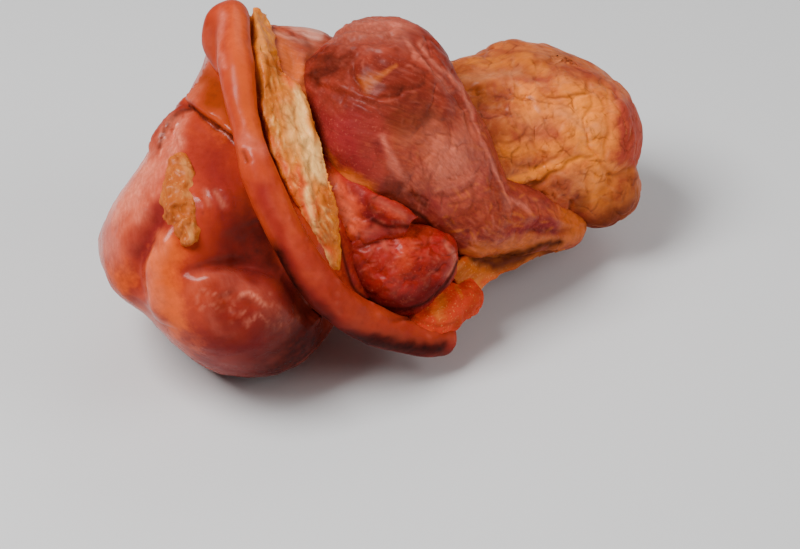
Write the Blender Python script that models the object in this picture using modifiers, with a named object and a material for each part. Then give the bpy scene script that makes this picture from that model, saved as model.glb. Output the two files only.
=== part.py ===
"""A smoked pork hock: one solid of a sack of rind, its rolled cut edge, bared muscles and shank end.

Metres, +Z up. The hock lies on its side on Z = 0, from the closed sack of rind at -X to the
rounded shank end at +X, which lies further back (+Y). The origin is under the middle of the
hock, on the surface that it rests on.
"""

import bpy
import bmesh
import math
from mathutils import Vector

MM = 0.001

# Driving dimensions
ROLL_RADIUS = 7.0 * MM     # the rolled, cut edge of the rind
GRAIN = 2.2 * MM           # the step at which the masses grow together
SOFTENING = 4              # smoothing passes over the joined masses
TRIANGLES = 8400           # of the joined masses, before the underside is pressed flat
BALL_DETAIL = 5            # subdivisions of each mass's sphere
TABLE_SIDE = 0.4           # the block that stands for the table under the hock
FLESH = (0.42, 0.075, 0.03, 1.0)
FLESH_ROUGHNESS = 0.38

# The masses of the hock, in mm and degrees: name: (centre, radii, turn).
# The rind is stretched round these, one taut skin to a group. Three of them, the toe, the waist
# and the belly, reach 2 mm below the table, where the hock's weight presses them flat.
RIND_MASSES = {
    "sack": {
        "toe": ((-49, -30, 43), (47, 45, 45), (0, 0, 0)),
        "shoulder": ((-56, -3, 65), (22, 26, 23), (0, 0, 0)),
        "sack_back": ((-32, 19, 52), (36, 42, 42), (0, 0, 0)),
        "nape": ((-46, 9, 100), (12, 18, 15), (0, 0, 0)),
    },
    "flank": {
        "waist": ((-24, 24, 37), (34, 34, 39), (0, 0, 0)),
        "rump": ((16, 31, 37), (30, 34, 32), (0, 0, 0)),
        "shank": ((59, 41, 40), (38, 34, 34), (0, 14, 0)),
        "belly": ((25, 16, 20), (44, 25, 22), (0, 0, 30)),
    },
}
# The muscles that the rind leaves bare.
BARED_MASSES = {
    "throat": ((-26, 9, 82), (26, 34, 22), (0, 8, 0)),
    "core": ((4, 3, 50), (40, 36, 44), (0, 0, 0)),
    "ball": ((0, 0, 77), (32, 36, 36), (0, 0, 0)),
    "brow": ((29, -1, 61), (28, 30, 30), (0, 0, 0)),
    "heel": ((7, -34, 38), (23, 18, 18), (0, 0, 0)),
    "shank_foot": ((78, 29, 29), (18, 20, 16), (0, 0, 20)),
    "corner": ((26, -31, 16), (13, 8, 9), (0, 0, 54)),
}
# Hollows and swellings: (where, how far each reaches, shift), in mm
PULLS = [
    ((-84, -59, 14), 46, (8, 5, 7)),
    ((-80, -4, 88), 32, (15, 4, -8)),
]

# The rolled edge of the rind, from its cut end at the front, over the top, along the back
# of the bared muscles and round the shank's end, in mm
ROLL_PATH = [
    (22, -42, 15),
    (-5, -55, 23),
    (-28, -65, 52),
    (-39, -55, 86),
    (-46, -22, 111),
    (-45, 12, 113),
    (-20, 36, 88),
    (16, 50, 58),
    (50, 60, 63),
    (80, 59, 53),
    (91, 45, 40),
    (89, 33, 26),
]


def clear_scene():
    """Remove every object that the file opens with."""
    for old in list(bpy.data.objects):
        bpy.data.objects.remove(old, do_unlink=True)


def lump(name, centre, radii, turn):
    """Return one rounded mass, a sphere stretched to its radii."""
    bpy.ops.mesh.primitive_ico_sphere_add(
        subdivisions=BALL_DETAIL,
        radius=1.0,
        location=[c * MM for c in centre],
        rotation=[math.radians(t) for t in turn],
        scale=[r * MM for r in radii],
    )
    mass = bpy.context.object
    mass.name = name
    bpy.ops.object.transform_apply(location=True, rotation=True, scale=True)
    return mass


def stretch(masses):
    """Return one taut skin round the masses, their convex hull."""
    whole = join(masses, "rind")
    skin = bmesh.new()
    skin.from_mesh(whole.data)
    hull = bmesh.ops.convex_hull(skin, input=skin.verts)
    inner = [item for item in hull["geom_interior"] if isinstance(item, bmesh.types.BMVert)]
    bmesh.ops.delete(skin, geom=inner, context="VERTS")
    skin.to_mesh(whole.data)
    skin.free()
    return whole


def pull(whole):
    """Push the hollows into the joined masses and draw the swellings out, like clay."""
    for where, reach, shift in PULLS:
        place = Vector(where) * MM
        move = Vector(shift) * MM
        for vertex in whole.data.vertices:
            near = (vertex.co - place).length / (reach * MM)
            if near < 1.0:
                vertex.co += move * (1.0 - near * near) ** 2


def roll():
    """Return the rolled edge of the rind as a mesh tube along a smooth path."""
    data = bpy.data.curves.new("roll", "CURVE")
    data.dimensions = "3D"
    data.bevel_depth = ROLL_RADIUS
    data.bevel_resolution = 6
    data.resolution_u = 12
    data.use_fill_caps = True
    spline = data.splines.new("NURBS")
    spline.points.add(len(ROLL_PATH) - 1)
    for point, place in zip(spline.points, ROLL_PATH):
        point.co = (*[c * MM for c in place], 1.0)
    spline.order_u = 4
    spline.use_endpoint_u = True
    guide = bpy.data.objects.new("roll_guide", data)
    bpy.context.scene.collection.objects.link(guide)
    graph = bpy.context.evaluated_depsgraph_get()
    mesh = bpy.data.meshes.new_from_object(guide.evaluated_get(graph))
    weld = bmesh.new()
    weld.from_mesh(mesh)
    bmesh.ops.remove_doubles(weld, verts=weld.verts, dist=0.00001)
    weld.to_mesh(mesh)
    weld.free()
    tube = bpy.data.objects.new("roll", mesh)
    tube.matrix_world = guide.matrix_world
    bpy.context.scene.collection.objects.link(tube)
    bpy.data.objects.remove(guide, do_unlink=True)
    return tube


def join(pieces, name):
    """Join the pieces' meshes into one object, which a remesh then makes one skin."""
    bpy.ops.object.select_all(action="DESELECT")
    for piece in pieces:
        piece.select_set(True)
    bpy.context.view_layer.objects.active = pieces[0]
    bpy.ops.object.join()
    whole = bpy.context.object
    whole.name = name
    whole.data.name = name
    return whole


def grow_together(whole):
    """Make the joined masses one closed skin of even, small faces."""
    remesh = whole.modifiers.new("Grow together", "REMESH")
    remesh.mode = "VOXEL"
    remesh.voxel_size = GRAIN
    bpy.context.view_layer.objects.active = whole
    bpy.ops.object.modifier_apply(modifier=remesh.name)


def finish_skin(whole):
    """Soften the skin and thin its faces out to the wanted number of triangles."""
    soften = whole.modifiers.new("Soften", "SMOOTH")
    soften.factor = 0.5
    soften.iterations = SOFTENING
    thin = whole.modifiers.new("Thin out", "DECIMATE")
    whole.data.calc_loop_triangles()
    thin.ratio = TRIANGLES / len(whole.data.loop_triangles)


def press_flat(whole, helpers):
    """Cut the underside flat where the hock's weight presses it on the table."""
    bpy.ops.mesh.primitive_cube_add(size=TABLE_SIDE, location=(0, 0, -TABLE_SIDE / 2))
    table = bpy.context.object
    table.name = "table_cutter"
    table.hide_render = True
    table.display_type = "WIRE"
    for home in list(table.users_collection):
        home.objects.unlink(table)
    helpers.objects.link(table)
    press = whole.modifiers.new("Press flat", "BOOLEAN")
    press.operation = "DIFFERENCE"
    press.object = table


def flesh():
    """Return the material of the smoked rind and meat."""
    material = bpy.data.materials.new("smoked_meat")
    material.use_nodes = True
    shader = material.node_tree.nodes["Principled BSDF"]
    shader.inputs["Base Color"].default_value = FLESH
    shader.inputs["Roughness"].default_value = FLESH_ROUGHNESS
    shader.inputs["Metallic"].default_value = 0.0
    return material


def main():
    """Build the hock."""
    clear_scene()
    hock = bpy.data.collections.new("smoked_pork_hock")
    helpers = bpy.data.collections.new("cutters")
    bpy.context.scene.collection.children.link(hock)
    bpy.context.scene.collection.children.link(helpers)
    pieces = [
        stretch([lump(name, *form) for name, form in group.items()])
        for group in RIND_MASSES.values()
    ]
    pieces += [lump(name, *form) for name, form in BARED_MASSES.items()]
    pieces.append(roll())
    whole = join(pieces, "pork_hock")
    for home in list(whole.users_collection):
        home.objects.unlink(whole)
    hock.objects.link(whole)
    whole.data.materials.append(flesh())
    whole.data.shade_smooth()
    grow_together(whole)
    pull(whole)
    finish_skin(whole)
    press_flat(whole, helpers)


main()
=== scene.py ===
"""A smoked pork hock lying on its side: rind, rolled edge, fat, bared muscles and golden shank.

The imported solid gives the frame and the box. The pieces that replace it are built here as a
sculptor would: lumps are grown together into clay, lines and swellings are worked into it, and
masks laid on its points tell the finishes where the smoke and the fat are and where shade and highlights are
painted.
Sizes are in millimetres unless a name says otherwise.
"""

import logging
import math
from dataclasses import dataclass
from enum import Enum
from typing import Callable, Dict, List, Optional, Sequence, Tuple, Union

import bpy
import numpy as np
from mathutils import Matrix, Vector
from mathutils.bvhtree import BVHTree

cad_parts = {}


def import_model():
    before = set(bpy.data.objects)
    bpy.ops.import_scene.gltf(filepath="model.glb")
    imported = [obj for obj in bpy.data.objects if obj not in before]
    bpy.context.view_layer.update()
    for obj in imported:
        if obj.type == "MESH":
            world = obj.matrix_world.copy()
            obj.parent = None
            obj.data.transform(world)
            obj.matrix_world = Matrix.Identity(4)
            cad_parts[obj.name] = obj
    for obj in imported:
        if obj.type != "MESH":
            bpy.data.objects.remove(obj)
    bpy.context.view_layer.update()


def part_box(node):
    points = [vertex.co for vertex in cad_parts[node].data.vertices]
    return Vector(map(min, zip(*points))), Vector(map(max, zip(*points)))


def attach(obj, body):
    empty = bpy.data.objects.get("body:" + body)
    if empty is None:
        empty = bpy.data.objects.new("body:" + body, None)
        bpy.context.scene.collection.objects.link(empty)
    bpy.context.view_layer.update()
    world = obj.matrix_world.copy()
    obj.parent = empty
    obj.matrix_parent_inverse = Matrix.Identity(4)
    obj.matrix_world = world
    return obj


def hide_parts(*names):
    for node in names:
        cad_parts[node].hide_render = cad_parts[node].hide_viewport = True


LOG = logging.getLogger("pork_hock")
MM = 0.001
NODE = "pork_hock"
BODY = "root"

Spot = Tuple[float, float]
Deep = Tuple[float, float, float]
Colour = Tuple[float, float, float]
Path = Tuple[Spot, ...]
Way = Tuple[Deep, ...]
Knob = Tuple[Spot, float, float]
Grain = Union[float, Sequence[float]]
Settings = Dict[str, object]
Share = Union[float, np.ndarray]
TINY = 1e-9


# ---------------------------------------------------------------- drawing sheet

@dataclass(frozen=True)
class Sheet:
    """A drawing sheet held square to the sight line; features are set out on it in mm.

    A spot (x, h) is x to the right and h up from the middle of the sheet, and a third
    number is how far the spot stands from the sheet towards the eye.
    """

    aim: Vector
    rise: float = math.radians(36.5)
    reach: float = 1.09 / MM

    @property
    def up(self) -> np.ndarray:
        """The sheet's upward direction."""
        return np.array((0.0, math.sin(self.rise), math.cos(self.rise)))

    @property
    def towards(self) -> np.ndarray:
        """The direction from the sheet to the eye."""
        return np.array((0.0, -math.cos(self.rise), math.sin(self.rise)))

    @property
    def eye(self) -> np.ndarray:
        """The eye's place in mm."""
        return np.array(self.aim) + self.towards * self.reach

    def place(self, spot: Sequence[float]) -> np.ndarray:
        """The point in mm of a spot that stands a given way off the sheet.

        Args:
            spot: x, h and the distance towards the eye.

        Returns:
            The point in space.
        """
        on_sheet = np.array(self.aim) + np.array((spot[0], 0.0, 0.0)) + self.up * spot[1]
        sight = (on_sheet - self.eye) / self.reach
        return self.eye + sight * (self.reach - spot[2])

    def flatten(self, points: np.ndarray) -> np.ndarray:
        """Draw points on the sheet.

        Args:
            points: Points in mm, one to a row.

        Returns:
            Their x and h on the sheet.
        """
        rel = points - np.array(self.aim)
        near = rel @ self.towards
        scale = self.reach / (self.reach - near)
        return np.stack((rel[:, 0] * scale, (rel @ self.up) * scale), axis=1)


# ---------------------------------------------------------------- lines and noise

def curve_through(points: Sequence[Sequence[float]], steps: int = 6) -> np.ndarray:
    """A smooth line through points, by the Catmull-Rom rule.

    Args:
        points: The points, of any number of numbers each.
        steps: Stretches between one point and the next.

    Returns:
        The line's points.
    """
    p = np.array(points, dtype=float)
    if len(p) < 3:
        return p
    p = np.vstack((2 * p[0] - p[1], p, 2 * p[-1] - p[-2]))
    out: List[np.ndarray] = []
    for a, b, c, d in zip(p[:-3], p[1:-2], p[2:-1], p[3:]):
        for t in np.arange(steps) / steps:
            out.append(0.5 * (2 * b + (c - a) * t + (2 * a - 5 * b + 4 * c - d) * t ** 2
                              + (3 * b - a - 3 * c + d) * t ** 3))
    out.append(p[-2])
    return np.array(out)


def nearest_on(line: np.ndarray, points: np.ndarray) -> Tuple[np.ndarray, np.ndarray, np.ndarray]:
    """Find each point's nearest place on a line.

    Args:
        line: The line's points.
        points: The points to test, one to a row.

    Returns:
        The distance, the length along the line and the vector from the line to the point.
    """
    best = np.full(len(points), np.inf)
    along = np.zeros(len(points))
    away = np.zeros_like(points)
    run = 0.0
    for a, b in zip(line[:-1], line[1:]):
        step = b - a
        length = float(np.linalg.norm(step)) + TINY
        t = np.clip((points - a) @ step / length ** 2, 0.0, 1.0)
        gap = points - (a + t[:, None] * step)
        d = np.einsum("ij,ij->i", gap, gap)
        hit = d < best
        best[hit] = d[hit]
        along[hit] = run + t[hit] * length
        away[hit] = gap[hit]
        run += length
    return np.sqrt(best), along, away


def signed_room(outline: np.ndarray, points: np.ndarray) -> np.ndarray:
    """How far each point lies inside a closed outline on the sheet, negative outside it."""
    closed = np.vstack((outline, outline[:1]))
    room = nearest_on(closed, points)[0]
    x, y = points[:, 0], points[:, 1]
    inside = np.zeros(len(points), dtype=bool)
    for a, b in zip(closed[:-1], closed[1:]):
        straddles = (a[1] > y) != (b[1] > y)
        rise = b[1] - a[1] if abs(b[1] - a[1]) > TINY else TINY
        inside ^= straddles & (x < (b[0] - a[0]) * (y - a[1]) / rise + a[0])
    return np.where(inside, room, -room)


NOISE_TABLE = np.random.default_rng(11).uniform(-1.0, 1.0, 4096)
NOISE_PRIMES = np.array((73856093, 19349663, 83492791), dtype=np.int64)
NOISE_GAIN = 1.6
SEED_STEP = 17.31
OCTAVE_SCALE = 2.03
OCTAVE_SHIFT = 5.7


def noise(points: np.ndarray, size: Grain, seed: int = 0, octaves: int = 2) -> np.ndarray:
    """Smooth noise of about -1 to 1.

    Args:
        points: The points, one to a row.
        size: The noise's grain, the same all ways or one for each axis.
        seed: Which noise.
        octaves: How many finer layers are added, each at half the size and strength.

    Returns:
        A value for each point.
    """
    total = np.zeros(len(points))
    share = 1.0
    whole = 0.0
    scaled = points / np.array(size, dtype=float) + seed * SEED_STEP
    for _ in range(octaves):
        cell = np.floor(scaled).astype(np.int64)
        f = scaled - cell
        w = f * f * (3.0 - 2.0 * f)
        layer = np.zeros(len(points))
        for corner in range(8):
            bits = np.array((corner & 1, corner >> 1 & 1, corner >> 2 & 1))
            mixed = (cell + bits) * NOISE_PRIMES
            key = (mixed[:, 0] ^ mixed[:, 1] ^ mixed[:, 2]) & (len(NOISE_TABLE) - 1)
            weight = np.prod(np.where(bits, w, 1.0 - w), axis=1)
            layer += NOISE_TABLE[key] * weight
        total += layer * share
        whole += share
        share *= 0.5
        scaled = scaled * OCTAVE_SCALE + OCTAVE_SHIFT
    return total * NOISE_GAIN / whole


# ---------------------------------------------------------------- what is worked into the clay

class Mask(Enum):
    """The marks that the finishes read from a piece's points."""

    DEEP_AND_SHADE = "deep"      # darker, redder flesh, and painted shade low down, in hollows and along crevices
    AMBER = "amber"    # yellow fat or smoke
    BLOOM = "film_and_highlight"    # the pale film on dried skin, and painted highlights and sheen
    CHAR_AND_SHADE = "char"      # brown-black lines, and painted shade in creases, crevices and hollows


DEEP_AND_SHADE, AMBER, BLOOM, CHAR_AND_SHADE = Mask


@dataclass(frozen=True)
class Mass:
    """An egg-shaped lump: centre, half sizes and turn in degrees."""

    centre: Deep
    radii: Deep
    turn: Deep = (0.0, 0.0, 0.0)


@dataclass(frozen=True)
class Swell:
    """A soft push: where, how far it reaches and which way it moves."""

    where: Deep
    reach: float
    shift: Deep


@dataclass(frozen=True)
class Line:
    """A groove or ridge drawn on the sheet and worked into the surface under it."""

    path: Path
    width: float
    depth: float
    char: float = 0.0
    wander: float = 0.6


@dataclass(frozen=True)
class Blot:
    """A patch of a mark: a closed outline with a soft rim, or a band along an open line."""

    mask: Mask
    path: Path
    soft: float
    strength: float
    closed: bool
    ragged: float


@dataclass(frozen=True)
class Strands:
    """Many short strands or cracks: where, how many, their sizes in mm and turn in degrees."""

    outline: Path
    count: int
    length: float
    turn: float
    spread: float
    width: float
    depth: float
    mask: Mask
    strength: float
    seed: int


def patch(mask: Mask, outline: Path, soft: float, strength: float, ragged: float = 1.2) -> Blot:
    """A mark that fills an outline."""
    return Blot(mask, outline, soft, strength, True, ragged)


def band(mask: Mask, path: Path, soft: float, strength: float, ragged: float = 0.9) -> Blot:
    """A mark that runs along a line."""
    return Blot(mask, path, soft, strength, False, ragged)


# ---------------------------------------------------------------- finishes

class Wiring:
    """A small hand for setting out shader nodes in a tree."""

    def __init__(self, tree: bpy.types.NodeTree) -> None:
        """Take up an empty node tree."""
        self.tree = tree
        self.count = 0

    def add(self, kind: str, settings: Optional[Settings] = None, **inputs: object) -> bpy.types.Node:
        """Add a node, set it and link or fill its inputs.

        Args:
            kind: The node's type.
            settings: Values for the node's own fields.
            **inputs: Input sockets by name, or i0, i1 for a place in the row; each is a value
                or the output socket that feeds it.

        Returns:
            The node.
        """
        node = self.tree.nodes.new(kind)
        node.location = (200.0 * (self.count % 8), -240.0 * (self.count // 8))
        self.count += 1
        for key, value in (settings or {}).items():
            setattr(node, key, value)
        for key, value in inputs.items():
            socket = node.inputs[int(key[1:]) if key[1:].isdigit() else key]
            if isinstance(value, bpy.types.NodeSocket):
                self.tree.links.new(value, socket)
            else:
                socket.default_value = value
        return node

    def blend(self, share: object, low: object, high: object) -> bpy.types.NodeSocket:
        """Mix two colours by a share."""
        return self.add("ShaderNodeMix", {"data_type": "RGBA"}, i0=share, i6=low, i7=high).outputs[2]

    def sum(self, kind: str, a: object, b: object, c: object = 0.0) -> bpy.types.NodeSocket:
        """Do one step of arithmetic."""
        return self.add("ShaderNodeMath", {"operation": kind}, i0=a, i1=b, i2=c).outputs[0]

    def times(self, a: object, b: object) -> bpy.types.NodeSocket:
        """Multiply two values."""
        return self.sum("MULTIPLY", a, b)

    def stir(self, value: object, cloud: object, amount: float) -> bpy.types.NodeSocket:
        """Move a value up and down with a noise."""
        return self.sum("MULTIPLY_ADD", self.sum("SUBTRACT", cloud, 0.5), amount, value)

    def spread(
        self, value: object, low: object, high: object, to_low: object = 0.0, to_high: object = 1.0
    ) -> bpy.types.NodeSocket:
        """Map a range of values onto another, clamped."""
        node = self.add("ShaderNodeMapRange", None, i0=value, i1=low, i2=high, i3=to_low, i4=to_high)
        return node.outputs[0]

    def mark(self, mask: Mask) -> bpy.types.NodeSocket:
        """Read one of the marks from the piece's points."""
        return self.add("ShaderNodeAttribute", {"attribute_name": mask.value}).outputs["Fac"]

    def comb(self, flow: object, scale: Deep) -> bpy.types.NodeSocket:
        """Stretch places along the grain."""
        return self.add("ShaderNodeMapping", None, Vector=flow, Scale=scale).outputs[0]

    def cloud(
        self, where: object, size: object, detail: float, roughness: float, distortion: float = 0.0
    ) -> bpy.types.NodeSocket:
        """A noise whose grain is a size in mm."""
        linked = isinstance(size, bpy.types.NodeSocket)
        scale = self.sum("DIVIDE", 1.0 / MM, size) if linked else 1.0 / (MM * size)
        looks = {"Detail": detail, "Roughness": roughness, "Distortion": distortion}
        return self.add("ShaderNodeTexNoise", None, Vector=where, Scale=scale, **looks).outputs["Fac"]


SMOKED = "smoked_flesh"
COLOURS = ("Base", "Vary", "Deep", "Amber", "Film_and_highlight", "Char")
GRAINS = ("Mottle mm", "Fibre mm", "Fibre share", "Vein share", "Fleck share", "Rough low", "Rough high")
RESULTS = ("Roughness", "Sheen", "Height")
VEIN_SCALE = 95.0
VEIN_BEND = 0.006
VEIN_BEND_SCALE = 160.0


def smoked_flesh() -> bpy.types.NodeTree:
    """The colour, gloss and relief that every finish of the hock shares, built once.

    Returns:
        The node group.
    """
    made = bpy.data.node_groups.get(SMOKED)
    if made:
        return made
    tree = bpy.data.node_groups.new(SMOKED, "ShaderNodeTree")
    sockets = [(name, "INPUT", "NodeSocketColor") for name in COLOURS]
    sockets += [(name, "INPUT", "NodeSocketFloat") for name in GRAINS]
    sockets += [("Color", "OUTPUT", "NodeSocketColor")]
    sockets += [(name, "OUTPUT", "NodeSocketFloat") for name in RESULTS]
    for name, way, kind in sockets:
        tree.interface.new_socket(name=name, in_out=way, socket_type=kind)
    w = Wiring(tree)
    given = w.add("NodeGroupInput").outputs
    place = w.add("ShaderNodeTexCoord").outputs["Object"]
    flow = w.add("ShaderNodeAttribute", {"attribute_name": "grain"}).outputs["Vector"]
    deep, amber, film_and_highlight, burnt_and_shade = (w.mark(mask) for mask in (DEEP_AND_SHADE, AMBER, BLOOM, CHAR_AND_SHADE))

    # noises: broad and fine mottles, tiny flecks, and threads and hairs along the grain
    broad = w.cloud(place, given["Mottle mm"], detail=3.0, roughness=0.5, distortion=0.6)
    fine = w.cloud(place, 2.4, detail=4.0, roughness=0.62)
    tiny = w.cloud(place, 0.9, detail=2.0, roughness=0.6)
    combed = w.comb(flow, (0.09, 1.0, 0.5))
    thread = w.cloud(combed, given["Fibre mm"], detail=4.0, roughness=0.65, distortion=0.4)
    combed = w.comb(flow, (0.2, 1.0, 0.6))
    hair = w.cloud(combed, 1.0, detail=3.0, roughness=0.65, distortion=0.5)

    # the base colour, and the deep marks (deeper flesh and painted shade) and amber marks with ragged edges
    colour = w.blend(w.spread(broad, 0.36, 0.66), given["Base"], given["Vary"])
    deepened = w.spread(w.sum("ADD", deep, w.spread(broad, 0.3, 0.7, -0.12, 0.12)), 0.08, 0.92)
    colour = w.blend(deepened, colour, given["Deep"])
    along = w.spread(given["Fibre share"], 0.1, 0.5)
    grainy = w.add("ShaderNodeMix", None, i0=along, i2=fine, i3=thread).outputs[0]
    yellow = w.times(w.spread(w.stir(amber, grainy, 0.6), 0.1, 0.75), w.spread(amber, 0.0, 0.12))
    colour = w.blend(yellow, colour, given["Amber"])

    # dark and light threads, calmer under the deep marks and under the pale film and its painted highlights
    threads = w.spread(thread, 0.34, 0.66, -1.0, 1.0)
    share = w.times(given["Fibre share"], w.spread(w.sum("MAXIMUM", deep, film_and_highlight), 0.0, 1.0, 1.0, 0.3))
    dark = w.times(w.spread(threads, 0.0, -1.0), share)
    light = w.times(w.spread(threads, 0.0, 1.0), share)
    colour = w.blend(w.times(dark, 0.5), colour, given["Char"])
    colour = w.blend(w.times(light, 0.25), colour, given["Film_and_highlight"])

    # a bent net of veins
    sway = w.add("ShaderNodeTexNoise", None, Vector=place, Scale=VEIN_BEND_SCALE, Detail=3.0).outputs["Color"]
    bend = (VEIN_BEND, VEIN_BEND, VEIN_BEND)
    bent = w.add("ShaderNodeVectorMath", {"operation": "MULTIPLY_ADD"}, i0=sway, i1=bend, i2=place).outputs[0]
    cells = w.add("ShaderNodeTexVoronoi", {"feature": "DISTANCE_TO_EDGE"}, Vector=bent, Scale=VEIN_SCALE)
    vein = w.times(w.spread(cells.outputs["Distance"], 0.06, 0.0), w.spread(broad, 0.42, 0.6))
    vein = w.times(vein, given["Vein share"])
    colour = w.blend(w.times(vein, 0.7), colour, given["Char"])

    # the pale film with its flecks and the painted highlights, streaked by the hairs, and then the
    # brown-black lines with the painted shade in creases and hollows
    fleck = w.times(w.spread(tiny, 0.60, 0.72), given["Fleck share"])
    film = w.sum("MAXIMUM", w.times(film_and_highlight, w.spread(hair, 0.42, 0.66, 0.72, 1.15)), fleck)
    colour = w.blend(film, colour, given["Film_and_highlight"])
    black = w.times(w.spread(w.stir(burnt_and_shade, fine, 0.6), 0.08, 0.95), w.spread(burnt_and_shade, 0.0, 0.1))
    colour = w.blend(black, colour, given["Char"])
    value = w.spread(fine, 0.3, 0.7, 0.90, 1.09)
    colour = w.add("ShaderNodeHueSaturation", None, Color=colour, Value=value).outputs[0]

    # gloss and relief
    rough = w.spread(w.stir(broad, fine, 0.8), 0.25, 0.75)
    rough = w.spread(rough, 0.0, 1.0, given["Rough low"], given["Rough high"])
    rough = w.sum("MULTIPLY_ADD", amber, 0.12, rough)
    sheen = w.spread(w.sum("MAXIMUM", burnt_and_shade, w.times(deep, 0.85)), 0.0, 0.75, 1.0, 0.0)
    height = w.sum("MULTIPLY_ADD", w.times(thread, share), 1.2, w.times(fine, 0.5))
    for layer, weight in ((hair, 0.2), (tiny, 0.12), (vein, -0.5)):
        height = w.sum("MULTIPLY_ADD", layer, weight, height)
    w.add("NodeGroupOutput", None, Color=colour, Roughness=rough, Sheen=sheen, Height=height)
    return tree


@dataclass(frozen=True)
class Finish:
    """One finish of the hock: its colours, grain and gloss."""

    name: str
    slot: str
    base: Colour
    vary: Colour
    # deep: darker, redder flesh, also the colour of painted shade low down and in hollows
    deep: Colour
    amber: Colour
    # the pale film's colour, also the colour of painted highlights and sheen
    film_and_highlight: Colour
    # brown-black of dark lines, also the colour of painted shade in creases and crevices
    char: Colour
    mottle: float = 11.0
    fibre_size: float = 1.6
    fibre: float = 0.3
    vein: float = 0.0
    fleck: float = 0.0
    rough: Tuple[float, float] = (0.32, 0.5)
    gloss: float = 0.40
    relief: float = 0.35
    flesh: float = 0.05

    def material(self) -> bpy.types.Material:
        """Make the finish's material, or find it if it is made.

        Returns:
            The material.
        """
        made = bpy.data.materials.get(self.name)
        if made:
            return made
        material = bpy.data.materials.new(self.name)
        material.use_nodes = True
        tree = material.node_tree
        shader = tree.nodes["Principled BSDF"]
        shader.inputs["Subsurface Weight"].default_value = self.flesh
        shader.inputs["Subsurface Radius"].default_value = (1.0, 0.3, 0.12)
        shader.inputs["Subsurface Scale"].default_value = 2.0 * MM
        shader.inputs["IOR"].default_value = 1.42
        shader.inputs["Specular IOR Level"].default_value = 0.03
        shader.inputs["Coat Roughness"].default_value = self.rough[0]
        w = Wiring(tree)
        group = w.add("ShaderNodeGroup", {"node_tree": smoked_flesh()})
        for name in COLOURS:
            group.inputs[name].default_value = (*getattr(self, name.lower()), 1.0)
        grains = (self.mottle, self.fibre_size, self.fibre, self.vein, self.fleck, *self.rough)
        for name, value in zip(GRAINS, grains):
            group.inputs[name].default_value = value
        given = group.outputs
        bump = w.add("ShaderNodeBump", None, Strength=self.relief, Distance=0.7 * MM, Height=given["Height"])
        tree.links.new(given["Color"], shader.inputs["Base Color"])
        tree.links.new(given["Roughness"], shader.inputs["Roughness"])
        tree.links.new(w.times(given["Sheen"], self.gloss), shader.inputs["Coat Weight"])
        tree.links.new(bump.outputs["Normal"], shader.inputs["Normal"])
        return material


RIND = Finish(
    "smoked_rind", "rind",
    base=(0.46, 0.042, 0.010), vary=(0.38, 0.030, 0.011), deep=(0.19, 0.013, 0.012),
    amber=(0.68, 0.085, 0.006), film_and_highlight=(0.88, 0.25, 0.15), char=(0.022, 0.005, 0.005),
    mottle=18.0, fibre=0.05, rough=(0.20, 0.34), gloss=0.45, relief=0.12,
)
ROLLED = Finish(
    "rolled_rind", "rind",
    base=(0.48, 0.052, 0.014), vary=(0.42, 0.036, 0.010), deep=(0.27, 0.019, 0.014),
    amber=(0.56, 0.072, 0.012), film_and_highlight=(0.66, 0.14, 0.085), char=(0.030, 0.005, 0.004),
    mottle=14.0, fibre=0.06, rough=(0.30, 0.42), gloss=0.28, relief=0.12,
)
INNER = Finish(
    "inner_rind_skin", "rind",
    base=(0.46, 0.078, 0.022), vary=(0.40, 0.052, 0.016), deep=(0.24, 0.030, 0.018),
    amber=(0.62, 0.110, 0.016), film_and_highlight=(0.86, 0.40, 0.29), char=(0.09, 0.017, 0.012),
    mottle=9.0, fibre=0.35, fibre_size=1.2, fleck=0.15, rough=(0.34, 0.48), relief=0.25,
)
LEAN = Finish(
    "smoked_lean", "lean",
    base=(0.20, 0.017, 0.009), vary=(0.33, 0.033, 0.014), deep=(0.24, 0.017, 0.019),
    amber=(0.54, 0.105, 0.015), film_and_highlight=(0.80, 0.195, 0.120), char=(0.045, 0.008, 0.005),
    mottle=10.0, fibre=0.36, fibre_size=1.2, vein=0.3, fleck=0.2, rough=(0.40, 0.54), relief=0.34,
)
BRIGHT_LEAN = Finish(
    "bright_lean", "lean",
    base=(0.34, 0.011, 0.009), vary=(0.36, 0.024, 0.011), deep=(0.16, 0.009, 0.009),
    amber=(0.74, 0.070, 0.014), film_and_highlight=(0.60, 0.14, 0.08), char=(0.03, 0.004, 0.003),
    mottle=7.0, fibre=0.15, fibre_size=1.2, vein=0.2, fleck=0.25, rough=(0.34, 0.48), relief=0.32,
)
FAT = Finish(
    "smoked_fat", "fat",
    base=(0.66, 0.150, 0.010), vary=(0.80, 0.235, 0.012), deep=(0.66, 0.046, 0.016),
    amber=(0.50, 0.100, 0.010), film_and_highlight=(1.0, 0.53, 0.16), char=(0.11, 0.022, 0.011),
    mottle=5.0, fibre=0.4, fibre_size=1.1, fleck=0.3, rough=(0.38, 0.56), relief=0.4,
)
GOLDEN = Finish(
    "golden_shank", "shank",
    base=(0.66, 0.152, 0.028), vary=(0.42, 0.072, 0.020), deep=(0.40, 0.050, 0.028),
    amber=(1.0, 0.250, 0.016), film_and_highlight=(0.80, 0.27, 0.10), char=(0.10, 0.018, 0.008),
    mottle=6.0, fibre=0.3, fibre_size=1.4, vein=0.75, fleck=0.25, rough=(0.36, 0.52), relief=0.5,
)


# ---------------------------------------------------------------- modelling tools

def only(obj: bpy.types.Object) -> None:
    """Select one object and make it active."""
    bpy.ops.object.select_all(action="DESELECT")
    obj.select_set(True)
    bpy.context.view_layer.objects.active = obj


def settle(obj: bpy.types.Object) -> None:
    """Put an object's place, turn and size into its mesh."""
    only(obj)
    bpy.ops.object.transform_apply(location=True, rotation=True, scale=True)


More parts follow.
